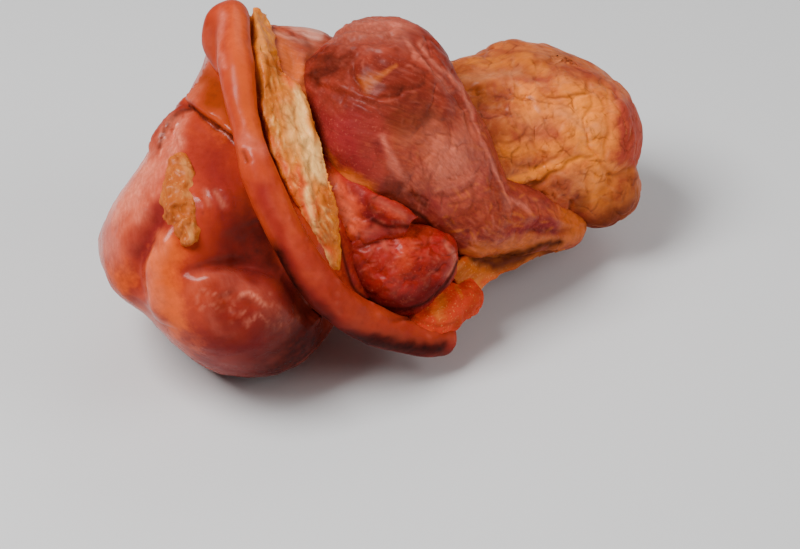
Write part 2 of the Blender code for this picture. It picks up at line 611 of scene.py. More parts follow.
def modify(obj: bpy.types.Object, kind: str, **settings: object) -> None:
    """Add a modifier with its settings and apply it."""
    only(obj)
    modifier = obj.modifiers.new(kind.lower(), kind)
    for key, value in settings.items():
        setattr(modifier, key, value)
    bpy.ops.object.modifier_apply(modifier=modifier.name)


def lump(mass: Mass, detail: int = 4) -> bpy.types.Object:
    """Add a ball at its place and stretch it to a mass's half sizes.

    Args:
        mass: The lump's sizes.
        detail: How finely the ball is divided.

    Returns:
        The lump.
    """
    bpy.ops.mesh.primitive_ico_sphere_add(
        subdivisions=detail,
        radius=1.0,
        location=[c * MM for c in mass.centre],
        rotation=[math.radians(a) for a in mass.turn],
        scale=[r * MM for r in mass.radii],
    )
    ball = bpy.context.active_object
    settle(ball)
    return ball


def joined(parts: Sequence[bpy.types.Object], name: str) -> bpy.types.Object:
    """Join objects into one of the given name."""
    only(parts[0])
    for part in parts[1:]:
        part.select_set(True)
    if len(parts) > 1:
        bpy.ops.object.join()
    obj = bpy.context.active_object
    obj.name = name
    obj.data.name = name
    return obj


def edit(obj: bpy.types.Object, work: Callable[..., object], **settings: object) -> None:
    """Do one edit to the whole of an object's mesh."""
    only(obj)
    bpy.ops.object.mode_set(mode="EDIT")
    bpy.ops.mesh.select_all(action="SELECT")
    work(**settings)
    bpy.ops.object.mode_set(mode="OBJECT")


def taut(masses: Sequence[Mass], name: str, detail: int = 4) -> bpy.types.Object:
    """Stretch a skin round some masses."""
    obj = joined([lump(m, detail) for m in masses], name)
    edit(obj, bpy.ops.mesh.convex_hull)
    return obj


def grown(obj: bpy.types.Object, grain: float, passes: int) -> bpy.types.Object:
    """Grow an object's lumps together on a fine even mesh, and smooth the seams away.

    Args:
        obj: The object.
        grain: The mesh's step in mm.
        passes: How many smoothing passes.

    Returns:
        The same object.
    """
    modify(obj, "REMESH", mode="VOXEL", voxel_size=grain * MM)
    modify(obj, "SMOOTH", factor=0.5, iterations=passes)
    return obj


def tube(points: Sequence[Sequence[float]], radii: Sequence[float], name: str) -> bpy.types.Object:
    """A closed rope of flesh along points in mm.

    Args:
        points: The rope's points.
        radii: Its radius at each point.
        name: The object's name.

    Returns:
        The rope as a mesh.
    """
    curve = bpy.data.curves.new(name, "CURVE")
    curve.dimensions = "3D"
    curve.bevel_depth = MM
    curve.bevel_resolution = 5
    curve.use_fill_caps = True
    line = curve_through([[*p, r] for p, r in zip(points, radii)], 8)
    spline = curve.splines.new("POLY")
    spline.points.add(len(line) - 1)
    for knot, spot in zip(spline.points, line):
        knot.co = (spot[0] * MM, spot[1] * MM, spot[2] * MM, 1.0)
        knot.radius = spot[3]
    obj = bpy.data.objects.new(name, curve)
    bpy.context.scene.collection.objects.link(obj)
    only(obj)
    bpy.ops.object.convert(target="MESH")
    obj = bpy.context.active_object
    edit(obj, bpy.ops.mesh.remove_doubles, threshold=0.01 * MM)
    return obj


def skin(obj: bpy.types.Object) -> BVHTree:
    """An object's surface as it stands, for finding places on it."""
    return BVHTree.FromObject(obj, bpy.context.evaluated_depsgraph_get())


def inside(outline: Path, soft: float, spots: np.ndarray) -> np.ndarray:
    """1 on spots inside an outline, falling to 0 outside it over a soft rim."""
    room = signed_room(np.array(outline, dtype=float), spots)
    return np.clip(room / soft * 0.5 + 0.5, 0.0, 1.0)


# ---------------------------------------------------------------- clay

FACING_GAIN = 2.0       # how sharply a surface that turns from the eye stops being worked
FACING_BIAS = 0.55
NEAR_MISS = 0.93        # where along the sight line to look for flesh that it passes by
WANDER_GRAIN = 5.0      # how a drawn line strays
END_TAPER = 5.0         # how quickly a line's ends rise
END_ROUND = 0.7
CHAR_SHARE = 0.75       # a groove's dark core, a dark line with painted crease shade, as a share of its width
RAGGED_GRAIN = 6.0      # how a patch's rim strays
CREASE_WIDTH = 0.13     # a net of creases: their width, drift and patches
CREASE_DRIFT = 0.4
CREASE_PATCH = 16.0
CREASE_FILL = 0.7
STRAND_LENGTHS = (0.5, 1.4)
STRAND_STRENGTHS = (0.5, 1.0)
STRAND_STEPS = 4
STRAND_BEND = 0.3
SHADE_GRAIN = 14.0      # how the upper edge of the painted low shade strays
SHADE_DRIFT = 4.0
RIBBON_COLUMNS = 14
RIBBON_ROWS = 60
WEATHER_MARKS = ((DEEP_AND_SHADE, 26.0, 0.9), (AMBER, 19.0, 0.8), (BLOOM, 15.0, 0.6))     # mark, size, strength


class Clay:
    """A mesh that is worked: its points, their normals and the marks laid on them."""

    def __init__(self, obj: bpy.types.Object, sheet: Sheet) -> None:
        """Take up an object's mesh.

        Args:
            obj: The object.
            sheet: The drawing sheet.
        """
        self.obj = obj
        self.sheet = sheet
        count = len(obj.data.vertices)
        flat = np.empty(count * 3)
        obj.data.vertices.foreach_get("co", flat)
        self.co = flat.reshape(-1, 3) / MM
        self.marks: Dict[Mask, np.ndarray] = {m: np.zeros(count) for m in Mask}
        self.flow = self.co.copy()
        self.no = np.zeros_like(self.co)
        self.tree: Optional[BVHTree] = None
        self.look()

    def look(self) -> None:
        """Write the points back and read the normals again."""
        mesh = self.obj.data
        mesh.vertices.foreach_set("co", (self.co * MM).ravel())
        mesh.update()
        flat = np.empty(len(self.co) * 3)
        mesh.vertex_normals.foreach_get("vector", flat)
        self.no = flat.reshape(-1, 3)

    def lift(self, height: np.ndarray) -> None:
        """Raise each point along its normal."""
        self.co += height[:, None] * self.no
        self.look()

    def mark(self, mask: Mask, strength: np.ndarray) -> None:
        """Lay a mark where it is stronger than what is there."""
        self.marks[mask] = np.maximum(self.marks[mask], strength)

    def facing(self) -> np.ndarray:
        """1 on points that face the eye, falling to 0 on those that face away."""
        return np.clip(self.no @ self.sheet.towards * FACING_GAIN + FACING_BIAS, 0.0, 1.0)

    def strike(self, tree: BVHTree, spot: Sequence[float]) -> np.ndarray:
        """Where the sight line through a spot meets a surface, or passes closest to it."""
        eye = Vector(self.sheet.eye) * MM
        sight = Vector(self.sheet.place(spot)) * MM - eye
        hit = tree.ray_cast(eye, sight.normalized())[0]
        if hit is None:
            hit = tree.find_nearest(eye + sight * NEAR_MISS)[0]
        return np.array(hit) / MM

    def onto(self, path: Sequence[Spot], wander: float = 0.0) -> np.ndarray:
        """Lay a line of the sheet on the surface.

        Args:
            path: The line's spots.
            wander: How far the line strays, so that it isn't drawn with a ruler.

        Returns:
            The line's points on the surface.
        """
        tree = skin(self.obj)
        line = curve_through([(p[0], p[1], 0.0) for p in path])
        for axis in (0, 1):
            line[:, axis] += wander * noise(line, WANDER_GRAIN, 3 + axis)
        return np.array([self.strike(tree, spot) for spot in line])

    def height_at(self, spot: Sequence[float]) -> float:
        """How far the surface under a spot stands off the sheet."""
        if self.tree is None:
            self.tree = skin(self.obj)
        place = self.strike(self.tree, (*spot, 0.0))
        return float((place - np.array(self.sheet.aim)) @ self.sheet.towards)

    def swell(self, pushes: Sequence[Swell]) -> None:
        """Push the clay softly."""
        for push in pushes:
            gap = np.linalg.norm(self.co - np.array(push.where), axis=1) / push.reach
            self.co += np.exp(-gap ** 2)[:, None] * np.array(push.shift)
        self.look()

    def bulge(self, knobs: Sequence[Knob]) -> None:
        """Raise or sink the surface round spots of the sheet, one after another."""
        for spot, reach, height in knobs:
            centre = self.onto([spot, spot])[0]
            gap = np.linalg.norm(self.co - centre, axis=1) / reach
            self.lift(np.exp(-gap ** 2) * height)

    def draw(self, lines: Sequence[Line]) -> None:
        """Work grooves and ridges into the surface, and paint a dark core of crease shade into the grooves
        given one.
        """
        moved = np.zeros_like(self.co)
        for line in lines:
            path = self.onto(line.path, line.wander)
            gap, along, _ = nearest_on(path, self.co)
            whole = float(np.linalg.norm(np.diff(path, axis=0), axis=1).sum()) + TINY
            share = along / whole
            ends = np.clip(np.minimum(share, 1.0 - share) * END_TAPER, 0.0, 1.0) ** END_ROUND
            ends = np.where((share <= 0.0) | (share >= 1.0), 0.0, ends)
            push = line.depth * np.exp(-(gap / line.width) ** 2) * ends
            moved += push[:, None] * self.no
            if line.char:
                self.mark(CHAR_AND_SHADE, line.char * np.exp(-(gap / (CHAR_SHARE * line.width)) ** 2) * ends)
        self.co += moved
        self.look()

    def lay(self, blots: Sequence[Blot]) -> None:
        """Lay patches of marks on the points that face the eye, or rub marks away there."""
        flat = self.sheet.flatten(self.co)
        stray = np.stack([noise(self.co, RAGGED_GRAIN, 5 + axis) for axis in (0, 1)], axis=1)
        seen = self.facing()
        for blot in blots:
            spots = flat + blot.ragged * stray
            if blot.closed:
                shape = inside(blot.path, blot.soft, spots)
                shape = shape * shape * (3.0 - 2.0 * shape)
            else:
                shape = np.exp(-(nearest_on(curve_through(blot.path, 4), spots)[0] / blot.soft) ** 2)
            change = shape * seen * blot.strength
            if blot.strength >= 0.0:
                self.mark(blot.mask, change)
            else:
                self.marks[blot.mask] = self.marks[blot.mask] * (1.0 + change)

    def follow(self, path: Path) -> None:
        """Let the grain run along a line of the sheet: along it, across it and away from it."""
        line = curve_through(path)
        gap, along, away = nearest_on(line, self.sheet.flatten(self.co))
        heading = np.gradient(line, axis=0)
        steps = np.concatenate(([0.0], np.cumsum(np.linalg.norm(np.diff(line, axis=0), axis=1))))
        which = np.clip(np.searchsorted(steps, along), 0, len(line) - 1)
        side = away[:, 0] * heading[which, 1] - away[:, 1] * heading[which, 0]
        near = (self.co - np.array(self.sheet.aim)) @ self.sheet.towards
        self.flow = np.stack((along, np.sign(side) * gap, near), axis=1)

    def fibres(self, length: float, width: float, height: float, seed: int, where: Share = 1.0) -> None:
        """Raise fibres along the grain.

        Args:
            length: Their length.
            width: Their width.
            height: How high they stand.
            seed: Which fibres.
            where: A share of the height, for all points or for each.
        """
        self.lift(noise(self.flow, (length, width, width * 3.0), seed, 3) * height * where)

    def rough(self, size: float, height: float, seed: int) -> None:
        """Make the surface uneven at random."""
        self.lift(noise(self.co, size, seed) * height)

    def crumple(self, size: float, height: float, char: float, seed: int, where: Share = 1.0) -> None:
        """Fold a net of fine creases into the surface, with soft pads between them, and paint shade into the
        creases.

        Args:
            size: The pads' size.
            height: How deep the creases are.
            char: How dark they are.
            seed: Which net.
            where: A share of the depth, for all points or for each.
        """
        drift = np.stack([noise(self.co, size, seed + k) for k in (1, 2, 3)], axis=1)
        pads = np.abs(noise(self.co + CREASE_DRIFT * size * drift, size, seed, 1))
        patchy = np.clip(noise(self.co, CREASE_PATCH, seed + 4) + CREASE_FILL, 0.0, 1.0)
        crease = np.exp(-(pads / CREASE_WIDTH) ** 2) * patchy
        self.mark(CHAR_AND_SHADE, crease * char * where)
        self.lift((pads - crease) * height * where)

    def scatter(self, every: Sequence[Strands]) -> None:
        """Scatter short strands or cracks over parts of the surface that face the eye."""
        for strands in every:
            strokes = self.strokes(strands) * self.facing()
            self.mark(strands.mask, strokes * strands.strength)
            self.lift(strokes * strands.depth)

    def strokes(self, strands: Strands) -> np.ndarray:
        """Draw one lot of strands at random.

        Args:
            strands: Where they lie, how many there are and how they look.

        Returns:
            How much of a strand lies on each point, 0 to 1.
        """
        rng = np.random.default_rng(strands.seed)
        outline = np.array(strands.outline, dtype=float)
        starts = rng.uniform(outline.min(axis=0), outline.max(axis=0), (strands.count * 4, 2))
        starts = starts[signed_room(outline, starts) > 0.0][:strands.count]
        flat = self.sheet.flatten(self.co)
        total = np.zeros(len(self.co))
        for start in starts:
            angle = math.radians(strands.turn) + rng.normal(0.0, math.radians(strands.spread))
            reach = strands.length * rng.uniform(*STRAND_LENGTHS)
            path = [start]
            for _ in range(STRAND_STEPS):
                angle += rng.normal(0.0, STRAND_BEND)
                heading = np.array((math.cos(angle), math.sin(angle)))
                path.append(path[-1] + reach / STRAND_STEPS * heading)
            near = np.flatnonzero(np.abs(flat - start).max(axis=1) < reach + 3.0 * strands.width)
            gap, along, _ = nearest_on(np.array(path), flat[near])
            stroke = np.exp(-(gap / strands.width) ** 2) * np.sin(np.pi * np.clip(along / reach, 0.0, 1.0))
            total[near] = np.maximum(total[near], stroke * rng.uniform(*STRAND_STRENGTHS))
        return total

    def beside(self, other: "Clay", reach: float) -> np.ndarray:
        """1 on points that lie on another piece, falling to 0 away from it."""
        tree = skin(other.obj)
        far = [tree.find_nearest(Vector(p) * MM, 4.0 * reach * MM)[3] for p in self.co]
        return np.array([0.0 if d is None else math.exp(-(d / MM / reach) ** 2) for d in far])

    def weather(self, seed: int) -> None:
        """Mottle and crease the sides that the drawing doesn't reach."""
        hidden = 1.0 - self.facing()
        self.crumple(size=21.0, height=0.9, char=0.3, seed=seed, where=hidden)
        for k, (mask, size, strength) in enumerate(WEATHER_MARKS):
            cloud = np.clip(noise(self.co, (size, size, 0.7 * size), seed + 10 + k, 3), 0.0, 0.8)
            self.mark(mask, cloud * hidden * strength)

    def shade_low(self, top: float, bottom: float, strength: float) -> None:
        """Deepen the colour towards the table, as painted shade on the underside."""
        drop = top - self.co[:, 2] + SHADE_DRIFT * noise(self.co, SHADE_GRAIN, 8)
        self.mark(DEEP_AND_SHADE, np.clip(drop / (top - bottom), 0.0, 1.0) * strength)

    def finish(self, finish: Finish) -> bpy.types.Object:
        """Press the underside flat on the table, write the marks and dress the piece.

        Args:
            finish: The piece's finish.

        Returns:
            The piece.
        """
        low = self.co[:, 2] < 0.0
        self.co[low, 2] = 0.0
        self.look()
        mesh = self.obj.data
        for mask, values in self.marks.items():
            layer = mesh.attributes.new(mask.value, "FLOAT", "POINT")
            layer.data.foreach_set("value", np.clip(values, 0.0, 1.0).astype(np.float32))
        grain = mesh.attributes.new("grain", "FLOAT_VECTOR", "POINT")
        grain.data.foreach_set("vector", (self.flow * MM).astype(np.float32).ravel())
        mesh.materials.clear()
        mesh.materials.append(finish.material())
        only(self.obj)
        bpy.ops.object.shade_smooth()
        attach(self.obj, BODY)
        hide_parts(NODE)
        LOG.info("%s: %d points", self.obj.name, len(mesh.vertices))
        return self.obj


def at_share(line: np.ndarray, share: float) -> np.ndarray:
    """The point at a share, 0 to 1, of a line's count of points."""
    pos = min(max(share, 0.0), 1.0) * (len(line) - 1)
    i = min(int(pos), len(line) - 2)
    return line[i] + (line[i + 1] - line[i]) * (pos - i)


def ribbon(
    sheet: Sheet,
    left: Way,
    right: Way,
    name: str,
    crown: float,
    thickness: float,
    under: Optional[Clay] = None,
) -> bpy.types.Object:
    """A slab of flesh between two edges set out on the sheet.

    Args:
        sheet: The drawing sheet.
        left: One edge's spots, with their distances off the sheet.
        right: The other edge's spots, in the same order.
        name: The object's name.
        crown: How far the slab's middle stands above its edges.
        thickness: The slab's thickness.
        under: The piece that the slab lies on; its spots then stand off that surface.

    Returns:
        The slab as a mesh.
    """
    bpy.ops.mesh.primitive_grid_add(x_subdivisions=RIBBON_COLUMNS, y_subdivisions=RIBBON_ROWS, size=1.0)
    obj = joined([bpy.context.active_object], name)
    edge_l = curve_through(left, 8)
    edge_r = curve_through(right, 8)
    for v in obj.data.vertices:
        s = v.co.x + 0.5
        t = v.co.y + 0.5
        a = at_share(edge_l, t)
        b = at_share(edge_r, t)
        spot = a + (b - a) * s
        if under:
            spot[2] += under.height_at(spot[:2])
        spot[2] += crown * 4.0 * s * (1.0 - s) - thickness / 2
        v.co = Vector(sheet.place(spot)) * MM
    modify(obj, "SOLIDIFY", thickness=thickness * MM, offset=0.0)
    return obj


# ---------------------------------------------------------------- the pieces

@dataclass
class Piece:
    """A piece of the hock, set out on the drawing sheet and worked on a mesh of one step in mm."""

    sheet: Sheet
    grain: float = 0.6

    def clay(self, obj: bpy.types.Object, passes: int) -> Clay:
        """Grow an object together, smooth it and take it up as clay."""
        return Clay(grown(obj, self.grain, passes), self.sheet)


@dataclass
class RindSack(Piece):
    """The whole rind but its rolled edge: the closed sack, the back and the underside."""

    grain: float = 1.0
    sack: Tuple[Mass, ...] = (
        Mass((-53, -31, 44), (47, 46, 46)),
        Mass((-56, -3, 65), (22, 26, 23)),
        Mass((-32, 19, 52), (36, 42, 42)),
        Mass((-49, 9, 96), (11, 16.5, 13)),
    )
    flank: Tuple[Mass, ...] = (
        Mass((-24, 24, 37), (34, 34, 39)),
        Mass((16, 31, 37), (30, 34, 32)),
        Mass((59, 44, 36), (36, 32, 32), (0, 14, 0)),
        Mass((25, 16, 20), (44, 25, 22), (0, 0, 30)),
    )
    fold_left: Way = ((-65.5, 78.5, 0), (-68, 73, 0), (-71, 67, 0), (-75, 61.5, 1))
    fold_right: Way = ((-63.5, 77.5, 2), (-61, 68, 3), (-59, 57.5, 4), (-56.5, 46, 4.5))
    lip: Path = ((-76.5, 62), (-79.5, 61.5), (-82, 60), (-85, 57), (-87.5, 53.5), (-89, 49.5), (-90, 44.5))
    lip_radii: Tuple[float, ...] = (0.9, 1.6, 2, 2.2, 2.2, 1.9, 0.9)
    lip_lift: float = 0.02
    lip_passes: int = 30
    pushes: Tuple[Swell, ...] = (
        Swell((-94, -58, 14), 36, (10, 6, 8)),
        Swell((-28, -66, 8), 22, (3, -3, 0)),
        Swell((-70, 1, 94), 17, (7, 2, -3)),
        Swell((-88, -2, 74), 24, (8, 3, -4)),
        Swell((-92, -18, 64), 20, (7, 1, -1)),
    )
    way: Path = (
        (-70, 78), (-76.5, 62), (-81.5, 45.5), (-83.5, 23.5), (-80, 1.5), (-70.5, -16.5), (-59.5, -35.5),
    )
    torn: Path = ((-84.5, 55.5), (-80, 57.5), (-79.5, 49), (-80.5, 41), (-86, 41.5), (-86.5, 48))
    bulge: Path = ((-74, -0.5), (-59.5, 1), (-36.5, -13.5), (-40, -20), (-62, -16.5), (-74, -9.5))
    shoulder: Path = ((-91, 42.5), (-85, 36), (-92.5, 22), (-105.5, 10.5), (-107.5, 20), (-99.5, 33.5))
    throat: Path = ((-75, 33), (-59.5, 32), (-56, 22.5), (-70.5, 20), (-74, 25.5))
    # the bloom strands on the lower bulge and the shoulder are painted highlight streaks
    strands: Tuple[Strands, ...] = (
        Strands(torn, 40, 4, -84, 16, 0.55, 0.35, BLOOM, 0.95, 28),
        Strands(torn, 26, 4, -84, 16, 0.55, -0.4, CHAR_AND_SHADE, 0.4, 29),
        Strands(bulge, 60, 3.4, -75, 14, 0.55, 0.12, BLOOM, 0.42, 23),
        Strands(shoulder, 34, 6, 50, 14, 0.9, -0.35, DEEP_AND_SHADE, 0.35, 24),
        Strands(shoulder, 30, 5, 50, 16, 0.6, 0.2, BLOOM, 0.6, 25),
        Strands(throat, 16, 4, -80, 20, 0.7, -0.35, CHAR_AND_SHADE, 0.35, 26),
    )
    knobs: Tuple[Knob, ...] = (
        ((-102.5, -3.5), 10, 2.4), ((-61, -15), 17, 6), ((-55.5, 9), 13, -9), ((-72.5, 23.5), 13, 2),
    )
    lines: Tuple[Line, ...] = (
        Line(((-85, 25.5), (-89.5, 17.5), (-92.5, 10.5), (-95.5, 1.5), (-93.5, -8.5)), 4.2, -3),
        Line(((-80.5, 19), (-85, 10.5), (-88.5, 1), (-87.5, -9.5), (-84.5, -17.5)), 4.4, 3),
        Line(((-80, 1), (-72.5, 1.5), (-65.5, 3), (-57.5, 3.5), (-50, 2.5), (-42, -0.5)),
            2.4, -2.4, 0.3),
        Line(((-78, -3.5), (-70.5, -0.5), (-63.5, -1.5), (-56.5, -5.5), (-48.5, -10.5), (-38.5, -16)),
            4, 1.8),
        Line(((-50, 21.5), (-45.5, 10.5), (-40, 0), (-33.5, -9.5), (-24, -18.5)), 5, -4),
        Line(((-64.5, -6.5), (-62.5, -10), (-63.5, -15)), 3.2, -1.8),
        Line(((-59, -7.5), (-55.5, -8), (-51, -10)), 1.5, 0.8),
        Line(((-59.5, -9), (-55.5, -9.5), (-51.5, -11.5)), 1.3, -0.6),
        Line(((-78, 61.5), (-72.5, 58.5), (-66, 53.5), (-57.5, 46)), 1.1, -1.2, 0.8, 0.8),
        Line(((-75.5, 62), (-70.5, 58.5), (-64, 53.5), (-56.5, 48)), 1.2, 0.7),
        Line(((-75.5, 59), (-79, 57), (-82, 52.5), (-84, 46.5)), 2, -1),
        Line(((-71.5, 30), (-69.5, 27), (-67.5, 22.5)), 1.3, -0.6),
        Line(((-67.5, 30.5), (-64.5, 28), (-62.5, 22.5)), 1.3, -0.6),
        Line(((-73.5, 28.5), (-70.5, 25.5), (-70, 21.5)), 1, 0.5),
        Line(((-64.5, 31.5), (-62, 28), (-60.5, 23.5)), 1, 0.5),
        Line(((-84.5, 57), (-85, 49.5), (-83.5, 41.5)), 0.9, 0.5),
        Line(((-82, 58.5), (-83, 50.5), (-82, 42.5)), 0.9, -0.5),
        Line(((-80, 58.5), (-80.5, 49.5), (-80, 41.5)), 0.9, 0.5),
    )
    # the deep and char patches over the middle, beside the rolled edge and at the lower right are painted
    # shade as well as darker rind; the bloom bands along ridges, bulges and the upper left are painted
    # highlights
    marks: Tuple[Blot, ...] = (
        patch(DEEP_AND_SHADE, ((-76.5, 49), (-59.5, 48), (-51.5, 30.5), (-43, 9), (-32.5, -8), (-18, -24),
            (-36.5, -40.5), (-65.5, -38.5), (-70.5, -20), (-72.5, -1.5), (-78, 4.5), (-73.5, 25.5)),
            14, 0.7, 3),
        patch(CHAR_AND_SHADE, ((-56, 28.5), (-50, 22), (-40, 1), (-25.5, -16), (-16, -25.5), (-25.5, -40),
            (-51.5, -41.5), (-48, -27.5), (-38, -20), (-42, -5.5), (-54.5, 1), (-64, 4.5), (-60.5, 16)),
            15, 0.85, 3),
        patch(CHAR_AND_SHADE, ((-55.5, -33.5), (-47.5, -22.5), (-41.5, -13.5), (-30, -12), (-12.5, -22.5),
            (-20.5, -45.5), (-59.5, -45.5)), 14, 0.85, 2),
        patch(DEEP_AND_SHADE, ((-80, -18.5), (-65.5, -9.5), (-50, -9.5), (-40, -20), (-36.5, -45.5),
            (-80, -45.5)), 18, 0.85, 2),
        patch(CHAR_AND_SHADE, ((-68.5, -9.5), (-61, -8), (-56, -12), (-59, -17.5), (-66, -16)), 6, 0.4, 2),
        patch(DEEP_AND_SHADE, ((-67.5, -20), (-50, -17.5), (-42, -26), (-50, -35.5), (-67, -33.5)), 10, 1, 3),
        band(DEEP_AND_SHADE, ((-86.5, 24), (-90, 16), (-94, 8)), 6, 0.85, 2),
        band(DEEP_AND_SHADE, ((-78, 1), (-67.5, 2.5), (-56.5, 3), (-45, -0.5)), 4, 0.7, 2),
        patch(DEEP_AND_SHADE, ((-75.5, -8), (-62.5, -8), (-57.5, -13.5), (-60.5, -21), (-72, -20)), 6, 0.8, 2),
        patch(AMBER, ((-107, 2.5), (-100.5, 3), (-96, -3.5), (-97.5, -11.5), (-104.5, -8)), 5, 0.55, 2),
        patch(DEEP_AND_SHADE, ((-107.5, 4.5), (-98, 4.5), (-93, -5), (-96, -13), (-105.5, -9.5)), 6, 0.75, 2),
        band(AMBER, ((-84.5, 10.5), (-87.5, 1), (-85, -9.5), (-81.5, -18.5)), 4.5, 0.95, 2),
        band(AMBER, ((-94.5, -14.5), (-86, -21.5), (-76.5, -27.5)), 5, 0.3, 2),
        band(AMBER, ((-70.5, 72), (-67, 62.5), (-62, 52.5)), 6.5, 0.5, 2),
        patch(CHAR_AND_SHADE, ((-72.5, 77.5), (-64.5, 74.5), (-59.5, 60), (-57.5, 48), (-64.5, 54.5),
            (-74, 61.5)), 5, 0.6, 2),
        band(BLOOM, ((-91, 40), (-96.5, 32), (-102, 24)), 7, 0.7, 3),
        band(BLOOM, ((-101, 22), (-105.5, 9)), 7, 0.3, 3),
        band(BLOOM, ((-109, 6), (-110, -0.5), (-107, -8)), 1.4, 0.6),
        band(BLOOM, ((-86, 12.5), (-89, 4.5), (-90.5, -5.5), (-88.5, -11.5)), 2.8, 0.25, 2),
        band(BLOOM, ((-76.5, -4), (-70, -1.5), (-62.5, -3), (-55.5, -7), (-47.5, -12), (-38.5, -16.5)),
            4, 0.12, 3),
        band(BLOOM, ((-70.5, -9.5), (-67.5, -16), (-64.5, -21)), 3, 0.12, 2.5),
        band(BLOOM, ((-58, -8), (-54.5, -8), (-50, -10.5)), 1, 0.6),
        patch(BLOOM, ((-85, 57.5), (-78.5, 59), (-78.5, 49), (-80, 40), (-86.5, 40), (-88, 49)),
            3, 0.5, 2),
        band(BLOOM, ((-70.5, 77.5), (-74, 69.5), (-76.5, 63.5)), 2, 0.25, 2),
        band(BLOOM, ((-71.5, 30.5), (-69.5, 25.5)), 1, 0.3),
        band(BLOOM, ((-67, 30.5), (-64, 25)), 1, 0.3),
        band(CHAR_AND_SHADE, ((-74, 65), (-71.5, 66.5), (-70, 64)), 1.6, 0.35, 1.5),
        band(CHAR_AND_SHADE, ((-77, 61.5), (-72, 57.5), (-65.5, 53), (-57, 46), (-54.5, 38), (-51.5, 27)),
            0.9, 0.85, 0.5),
        band(CHAR_AND_SHADE, ((-76, 60), (-79.5, 59.5), (-82, 57.5), (-84.5, 54.5), (-86, 51), (-87.5, 46.5)),
            1, 0.7, 0.3),
        band(DEEP_AND_SHADE, ((-76.5, 62), (-79.5, 61.5), (-82, 60), (-85, 57), (-87.5, 53.5), (-89, 49.5),
            (-90, 44.5)), 2.2, 0.7, 0.3),
    )

    def build(self) -> Clay:
        """Stretch the two skins, grow them together and work in the folds.

        Returns:
            The rind's clay, for what lies on it.
        """
        clay = self.clay(joined([taut(self.sack, "sack"), taut(self.flank, "flank")], "rind"), passes=10)
        clay.swell(self.pushes)
        edges = (self.fold_left, self.fold_right)
        fold = ribbon(self.sheet, *edges, "fold", crown=1.0, thickness=7.0, under=clay)
        edge = clay.onto(self.lip)
        for _ in range(self.lip_passes):
            edge[1:-1] = (edge[:-2] + edge[1:-1] + edge[2:]) / 3.0
        edge += (edge - np.array(self.sack[0].centre)) * self.lip_lift
        curl = tube(edge[::6], self.lip_radii, "curled_lip")
        clay = self.clay(joined([clay.obj, fold, curl], "rind"), passes=2)
        clay.follow(self.way)
        clay.bulge(self.knobs)
        clay.draw(self.lines)
        clay.rough(size=26.0, height=0.9, seed=21)
        clay.rough(size=5.0, height=0.16, seed=22)
        clay.scatter(self.strands)
        clay.shade_low(top=40.0, bottom=4.0, strength=0.9)
        clay.lay(self.marks)
        clay.weather(seed=27)
        clay.finish(RIND)
        return clay


